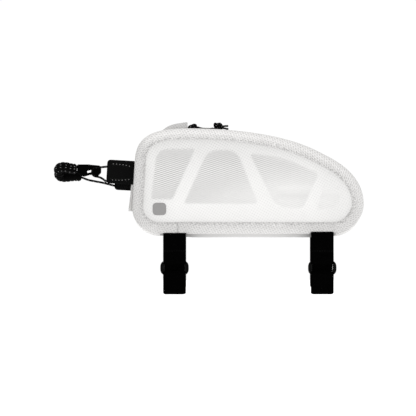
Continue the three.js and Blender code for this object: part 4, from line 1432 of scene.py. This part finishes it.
def hook(material):
    """The hook's block, the thinner plate behind the loop and the headed post, with soft moulded edges."""
    low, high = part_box("hook")
    step_x = POST.x - POST_RADIUS - CORD_DIAMETER - 0.9 * MM
    top, bottom = HOOK_Z + HOOK_HEIGHT * 0.43, HOOK_Z - HOOK_HEIGHT * 0.48
    corners = [
        (low.x, bottom),
        (low.x + HOOK_CHIN * 1.4, bottom - HOOK_CHIN),
        (step_x, bottom - HOOK_CHIN * 0.5),
        (step_x, top),
        (low.x, top),
    ]
    shape = rounded_polygon(corners, [1.2 * MM, 2 * MM, 1.2 * MM, 1.2 * MM, 1.4 * MM], 5)
    rings = side_plate_rings(shape, HOOK_Y - HOOK_WALL / 2, HOOK_Y + HOOK_WALL / 2, 0.9 * MM)
    block = add_skin("hook_block", rings, material, ["hook"])
    plate_x = step_x - 3 * MM
    plate_y = POST.y + CORD_DIAMETER / 2 + GAP
    corners = [
        (plate_x, bottom - HOOK_CHIN * 0.6),
        (high.x, bottom - HOOK_CHIN * 0.4),
        (high.x, top - HOOK_HEIGHT * 0.14),
        (plate_x, top),
    ]
    shape = rounded_polygon(corners, [1 * MM, 3 * MM, 3 * MM, 1 * MM], 6)
    rings = side_plate_rings(shape, plate_y, plate_y + PLATE_WALL, 0.7 * MM)
    plate = add_skin("hook_plate", rings, material)
    for piece in (block, plate):
        cut_box(piece, EYE_LOW, EYE_HIGH, EYE_TURN)
    face = Vector((POST.x, POST.y - CORD_DIAMETER / 2 - GAP, POST.z))
    rings = []
    for radius, depth in POST_PROFILE:
        ring = [Vector((math.cos(a) * radius, depth, math.sin(a) * radius)) * MM for a in angles(28)]
        rings.append([face + p for p in ring])
    post = add_skin("hook_post", rings, material)
    return [block, plate, post]


# Front fittings

TABS = {
    "left": {"side": -1, "middle_z": 68 * MM, "length": 28.5 * MM},
    "right": {"side": 1, "middle_z": 61.6 * MM, "length": 20 * MM},
}
TAB_HEIGHT = 25 * MM
TAB_WALL = 2.4 * MM
TAB_CORNER = 4 * MM
TAB_Y = 11 * MM
FRONT_FACE = BASE_CROWN * 0.36 - SEAM_INSET  # how far the gusset's front stands out of the outline
TAB_SEAT = FRONT_FACE + GAP
FLAP_SEAT = FRONT_FACE + 2 * GAP + 0.9 * MM
FLAP_BACK = FRONT_FACE - GAP
FLAP_BEND_Z = 49.5 * MM


def front_frame(z):
    """The place on the front of the bag at a height, and the directions out of it and up it."""
    foot, head = at_share(0, 0.25), at_share(0.0113, 0.695)
    up = (head - foot).normalized()
    place = foot + (head - foot) * ((z - foot.y) / (head.y - foot.y))
    return Vector((place.x, 0, place.y)), Vector((-up.y, 0, up.x)), Vector((up.x, 0, up.y))


def tab(name, side, middle_z, length, material, thread, dot_thread):
    """A rubberised tab: a thick plate with a softly domed face, two sewn rows and a foot under the flap."""
    origin, out, up = front_frame(middle_z)
    tab_y = side * TAB_Y

    def place(o, u, y):
        return origin + out * o + up * u + Vector((0, y, 0))

    near, far, half = TAB_SEAT + 0.1 * MM, TAB_SEAT + length, TAB_HEIGHT / 2
    corners = [(near, -half), (far, -half), (far, half), (near, half)]
    shape = rounded_polygon(corners, [0.5 * MM, TAB_CORNER, TAB_CORNER, 0.5 * MM], 8)
    centre = Vector((TAB_SEAT + length * 0.5, 0))
    profile = [(0.03, 1.3), (0.5, 1.27), (0.8, 1.12), (0.88, 1.0), (0.93, 1.06), (0.975, 0.98), (1.0, 0.62)]
    rings = []
    for sign, rows in ((1, profile), (-1, profile[::-1])):
        for share, lift in rows:
            plan = [centre + (p - centre) * share for p in shape]
            y = tab_y + sign * side * lift * TAB_WALL / 2.6
            rings.append([place(q.x, q.y, y) for q in plan])
    add_skin(f"tab_plate_{name}", rings, material, [f"tab_{name}"])
    foot = rounded_rectangle(8 * MM, TAB_HEIGHT - 1.5 * MM, 1.5 * MM, (tab_y - side * 4 * MM, 0), 5)
    rings = []
    for depth in (0.05, 0.45, 0.85):
        rings.append([place(TAB_SEAT + depth * MM, p.y, p.x) for p in foot])
    add_skin(f"tab_foot_{name}", rings, material)
    stitches, dots = [], []
    face = tab_y + side * 1.22 * MM
    outward = Vector((0, side, 0))
    run = length - 8 * MM
    pitch = 3.5 * MM
    count = round(run / pitch * 2)
    for row, rise in ((0.325, -1), (-0.345, 1)):
        for k in range(count + 1):
            share = k / count
            o = TAB_SEAT + 3.2 * MM + run * share
            u = row * TAB_HEIGHT + 1.9 * MM * (1 - share) ** 3 * rise
            lean = 1 if k % 2 else -1
            along = (out + up * (0.62 * lean)).normalized()
            stitches.append((place(o, u + rise * 0.9 * MM, face), along, outward))
            if k % 2:
                dots.append((place(o, u - rise * 0.15 * MM, face), out, outward))
    stitch_mesh(f"tab_stitches_{name}", stitches, (2.1 * MM, 0.6 * MM), thread)
    stitch_mesh(f"tab_dots_{name}", dots, (1.25 * MM, 0.8 * MM), dot_thread)


def flap(material, thread):
    """A knit patch sewn over the tabs' feet, its sides turned in to the gusset and its lower end loose."""
    low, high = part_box("front_flap")
    half = (high.y - low.y) / 2
    top, bottom = high.z - 0.3 * MM, low.z + 0.2 * MM
    rows = 26
    rings = []
    stitches = []
    for k in range(rows + 1):
        z = top + (bottom - top) * k / rows
        origin, out, up = front_frame(z)
        loose = 1.5 * MM * max(FLAP_BEND_Z - z, 0) / (FLAP_BEND_Z - bottom)
        trim = min(k, rows - k) / 1.5
        wide = half * (1 if trim >= 1 else 0.93 + 0.07 * trim)
        ring = []
        for across, depth in flap_section():
            soft = 0.2 * MM * wobble(k * 0.4, across * 2, 8)
            reach = FLAP_SEAT + loose + depth * MM + soft if depth > 0 else FLAP_BACK
            ring.append(origin + out * reach + Vector((0, across * wide, 0)))
        rings.append(ring)
        if 2 < k < rows - 4:
            for side in (-1, 1):
                reach = FLAP_SEAT + loose + 0.82 * MM
                place = origin + out * reach + Vector((0, side * (half - 2.4 * MM), 0))
                stitches.append((place, up, out))
    add_skin("flap_cloth", rings, material, ["front_flap"])
    stitch_mesh("flap_stitches", stitches, (1.5 * MM, 0.5 * MM), thread)


def flap_section():
    """Places across the flap, with their depth out of the bag in millimetres, outer face first."""
    across = [-1 + 2 * k / 12 for k in range(13)]
    outer = [(a, 1.0 - 0.35 * abs(a) ** 10) for a in across]
    inner = [(a, 0) for a in reversed(across)]
    return outer + inner


# Straps

STRAP_WIDTH = 24 * MM
STRAP_WALL = 1.8 * MM
RING_BAR = 2.6 * MM
RING_HEIGHT = 15.8 * MM
RING_DEPTH = 32 * MM
LOOP_DEPTH = 52.5 * MM
LOOP_CORNER = 11 * MM
TURN_BACK = 12 * MM
TAIL_DEPTH = 59.8 * MM
SEAM_IN = 2.1 * MM
RIBBON_STEP = 0.8 * MM
BAR_OFFSET = (RING_HEIGHT - RING_BAR) / 2
WRAP_RADIUS = RING_BAR / 2 + GAP + STRAP_WALL / 2


def arc(centre, radius, start, end, steps=16):
    turns = [start + (end - start) * k / steps for k in range(steps + 1)]
    return [Vector((centre[0] + math.cos(a) * radius, centre[1] + math.sin(a) * radius)) for a in turns]


def short_path(leg, lift):
    bar = -RING_DEPTH + BAR_OFFSET
    back = -leg + STRAP_WALL + GAP
    path = [Vector((-leg, RIM_Z - GAP + lift)), Vector((-leg, bar + TURN_BACK))]
    path.append(Vector((-leg - WRAP_RADIUS + STRAP_WALL / 4, bar + WRAP_RADIUS)))
    path += arc((-leg, bar), WRAP_RADIUS, math.pi, 2 * math.pi)
    path += [Vector((back, bar + WRAP_RADIUS * 1.6)), Vector((back, bar + TURN_BACK))]
    return path


def long_path(leg, lift):
    bar = -RING_DEPTH - BAR_OFFSET
    low = -LOOP_DEPTH + STRAP_WALL / 2
    rise = -leg + WRAP_RADIUS
    near = LOOP_CORNER * 0.6
    path = [Vector((leg, RIM_Z - GAP + lift))]
    path += arc((leg - LOOP_CORNER, low + LOOP_CORNER), LOOP_CORNER, 0, -math.pi / 2)
    path += arc((rise + near, low + near), near, -math.pi / 2, -math.pi)
    path += arc((-leg, bar), WRAP_RADIUS, 0, math.pi)
    lie = rise - STRAP_WALL - GAP
    path.append(Vector((-leg - WRAP_RADIUS, bar - RING_BAR * 0.5)))
    path.append(Vector((lie - STRAP_WALL * 0.3, bar - WRAP_RADIUS * 2.5)))
    path += [Vector((lie, bar - WRAP_RADIUS * 3)), Vector((lie, -TAIL_DEPTH))]
    return path


def ribbon(name, path, centre_x, material, replaces, tail=0.0):
    """Webbing along a path in the plane across the bag. tail is the rounding of its end."""
    line = even_line(eased_line(even_line(path, 2.2 * MM), 2), RIBBON_STEP)
    wall = STRAP_WALL * 0.86
    columns = 16
    rings = []
    for k, (p, along) in enumerate(zip(line, tangents(line))):
        normal = Vector((-along.y, along.x))
        left = (len(line) - 1 - k) * RIBBON_STEP
        cut = tail - math.sqrt(max(tail**2 - (tail - left) ** 2, 0)) if left < tail else 0
        half = STRAP_WIDTH / 2 - cut
        ring = []
        for sign in (1, -1):
            order = range(columns + 1) if sign == 1 else range(columns, -1, -1)
            for c in order:
                across = -1 + 2 * c / columns
                edge = 0.5 * (1 - 0.5 * smoothstep(abs(across), 0.9, 1.0))
                fuzz = 0.07 * MM * wobble(k * 0.9, across * 9, sign * 3 + centre_x * 50)
                offset = sign * wall * edge + fuzz
                q = p + normal * offset
                ring.append(Vector((centre_x + across * half, q.x, q.y)))
        rings.append(ring)
    add_skin(name, rings, material, replaces)


def strap_ring(name, centre_x, leg, material, replaces):
    """A moulded ring with round upper and lower bars, and wider sides that reach the webbing's edges."""
    wide = STRAP_WIDTH + 2 * (0.4 * MM + RING_BAR) - RING_BAR
    tall = RING_HEIGHT - RING_BAR
    line = [Vector((p.x, 0, p.y)) for p in rounded_rectangle(wide, tall, tall * 0.42, steps=12)]
    line = even_line(line + [line[0]], 0.8 * MM)[:-1]
    centre = Vector((centre_x, -leg, -RING_DEPTH))
    rings = []
    for p, along in zip(line, tangents(line, closed=True)):
        out = -over(along)
        if out.dot(p) < 0:
            out = -out
        flat = smoothstep(abs(out.x), 0.5, 1.0)
        inner = RING_BAR / 2 + 1.5 * MM * flat
        ring = []
        for turn in angles(16):
            reach = math.cos(turn) * (RING_BAR / 2 if math.cos(turn) > 0 else inner)
            ring.append(centre + p + out * (reach * 0.98) + Vector((0, math.sin(turn) * RING_BAR * 0.49, 0)))
        rings.append(ring)
    add_skin(name, rings, material, replaces, closed_along=True)


def straps(cloth, plastic, thread):
    for place, (low_x, high_x) in STRAP_SPANS.items():
        centre_x = (low_x + high_x) / 2
        leg = half_width(centre_x + STRAP_WIDTH / 2) - SEAM_IN
        short, long = short_path(leg, STRAP_LIFT[place]), long_path(leg, STRAP_LIFT[place])
        ribbon(f"{place}_webbing_short", short, centre_x, cloth, [f"{place}_strap_short"])
        ribbon(f"{place}_webbing_long", long, centre_x, cloth, [f"{place}_strap_long"], tail=2.2 * MM)
        strap_ring(f"{place}_ring", centre_x, leg, plastic, [f"{place}_strap_ring"])
        stitches = []
        bar = -RING_DEPTH + BAR_OFFSET
        for row in (4.2, 6.6, 9.6, 11.2):
            for k in range(9):
                at = Vector((centre_x + (k - 4) * 2.5 * MM, -leg - STRAP_WALL * 0.5, bar + row * MM))
                stitches.append((at, Vector((1, 0, 0)), Vector((0, -1, 0))))
        stitch_mesh(f"{place}_strap_stitches", stitches, SEAM_STITCH, thread)


# Stage


def stage():
    """A white floor under the bag, a sky that is white at the horizon and duller above, and soft lights."""
    floor = bpy.data.meshes.new("floor")
    size, level = 9.0, -0.215
    corners = [(-size, -size, level), (size, -size, level), (size, size, level), (-size, size, level)]
    floor.from_pydata(corners, [], [(0, 1, 2, 3)])
    s = Shade("floor_paper")
    grain = s.noise(s.place(), 60, 3, 0.6)
    s.set(
        Base_Color=s.ramp(grain, (0.9, 0.9, 0.9), (0.93, 0.93, 0.93)),
        Roughness=0.9,
        Emission_Color=(1, 1, 1, 1),
        Emission_Strength=0.42,
        Normal=s.bump(grain, 0.0002, 0.2),
    )
    floor.materials.append(s.owner)
    obj = add_object("floor", floor)
    sky = Shade("studio", world=True)
    _, y, z = sky.axes(sky.node("ShaderNodeTexCoord", output="Generated"))
    strength = sky.times(sky.spread(z, 1.02, 0.95, 0.12, 0.75), sky.spread(y, 0.8, 1.0, -0.9, -0.1))
    background = sky.nodes["Background"]
    sky.put(background.inputs["Strength"], strength)
    background.inputs["Color"].default_value = (1, 1, 1, 1)
    bpy.context.scene.world = sky.owner
    bpy.context.scene.view_settings.view_transform = "Standard"
    softbox("key", (0.7, -1.4, 1.6), 1.0, 4.5)
    softbox("fill", (-1.2, -1.7, 0.6), 0.8, 1.0)


def softbox(name, place, size, power):
    data = bpy.data.lights.new(name, "AREA")
    data.energy = power
    data.size = size
    obj = add_object(name, data)
    obj.location = place
    aim = Vector((-0.03, 0, 0.05)) - Vector(place)
    obj.rotation_euler = aim.to_track_quat("-Z", "Y").to_euler()


def dress(node, material):
    """Gives a CAD node that stays its finished material."""
    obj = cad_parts[node]
    obj.data.materials.clear()
    obj.data.materials.append(material)


def main():
    camera()
    cord_braid = braid_material("cord_braid", CORD_DIAMETER, 0.003, 0.16)
    plastic = moulded_material("black_plastic", 0.002, 0.3, 0.04)
    hook_plastic = moulded_material("hook_plastic", 0.0007, 0.35, 0.012)
    rubber = moulded_material("tab_rubber", 0.0022, 0.55, 0.035, 2200)
    sleeve = moulded_material("sleeve_rubber", 0.0012, 0.55, 0.02, 2200)
    # Light dots for the grip sleeve: painted highlights on its ribs.
    dots = moulded_material("grip_rib_highlights", 0.14, 0.5, 0.2)
    cord, line = cord_tube("elastic_cord", CORD_ROUTE, CORD_DIAMETER, cord_braid, ["cord_long"])
    loop, loop_points = cord_tube("elastic_loop", LOOP_ROUTE, CORD_DIAMETER, cord_braid, ["cord_loop"])
    grip = cord_grip(sleeve, dots)
    fittings = hook(hook_plastic)
    roots = cord_roots(cord_braid)

    knit = knit_material("knit_mesh", 0.785, 0.175)
    wall_knit = knit_material("knit_wall", 0.76, 0.14)
    garage_knit = knit_material("knit_garage", 0.61, 0.16)
    pale_thread = thread_material("pale_thread", 0.66)
    black_thread = thread_material("black_thread", 0.002)
    tab_thread = thread_material("tab_thread", 0.0016)
    dot_thread = thread_material("dot_thread", 0.2)
    side_cloths(side_cloth_material())
    for name, _ in SIDES:
        dress(f"truss_stiffener_{name}", board_material())
    badge(badge_material())
    bindings(knit, pale_thread)
    gusset(wall_knit, pale_thread)
    base(smooth_cloth_material("base_cloth", 0.6))
    zip_tape(zip_cloth_material())
    zip_teeth(plastic)
    zip_slider(moulded_material("slider_metal", 0.002, 0.28, 0.06))
    zip_pull(braid_material("pull_braid", PULL_DIAMETER, 0.002, 0.14))
    zip_garage(garage_knit, pale_thread)
    for name, tab_size in TABS.items():
        tab(name, **tab_size, material=rubber, thread=tab_thread, dot_thread=dot_thread)
    flap(knit_material("knit_flap", 0.74, 0.14), pale_thread)
    straps(webbing_material(), plastic, black_thread)
    stage()


main()
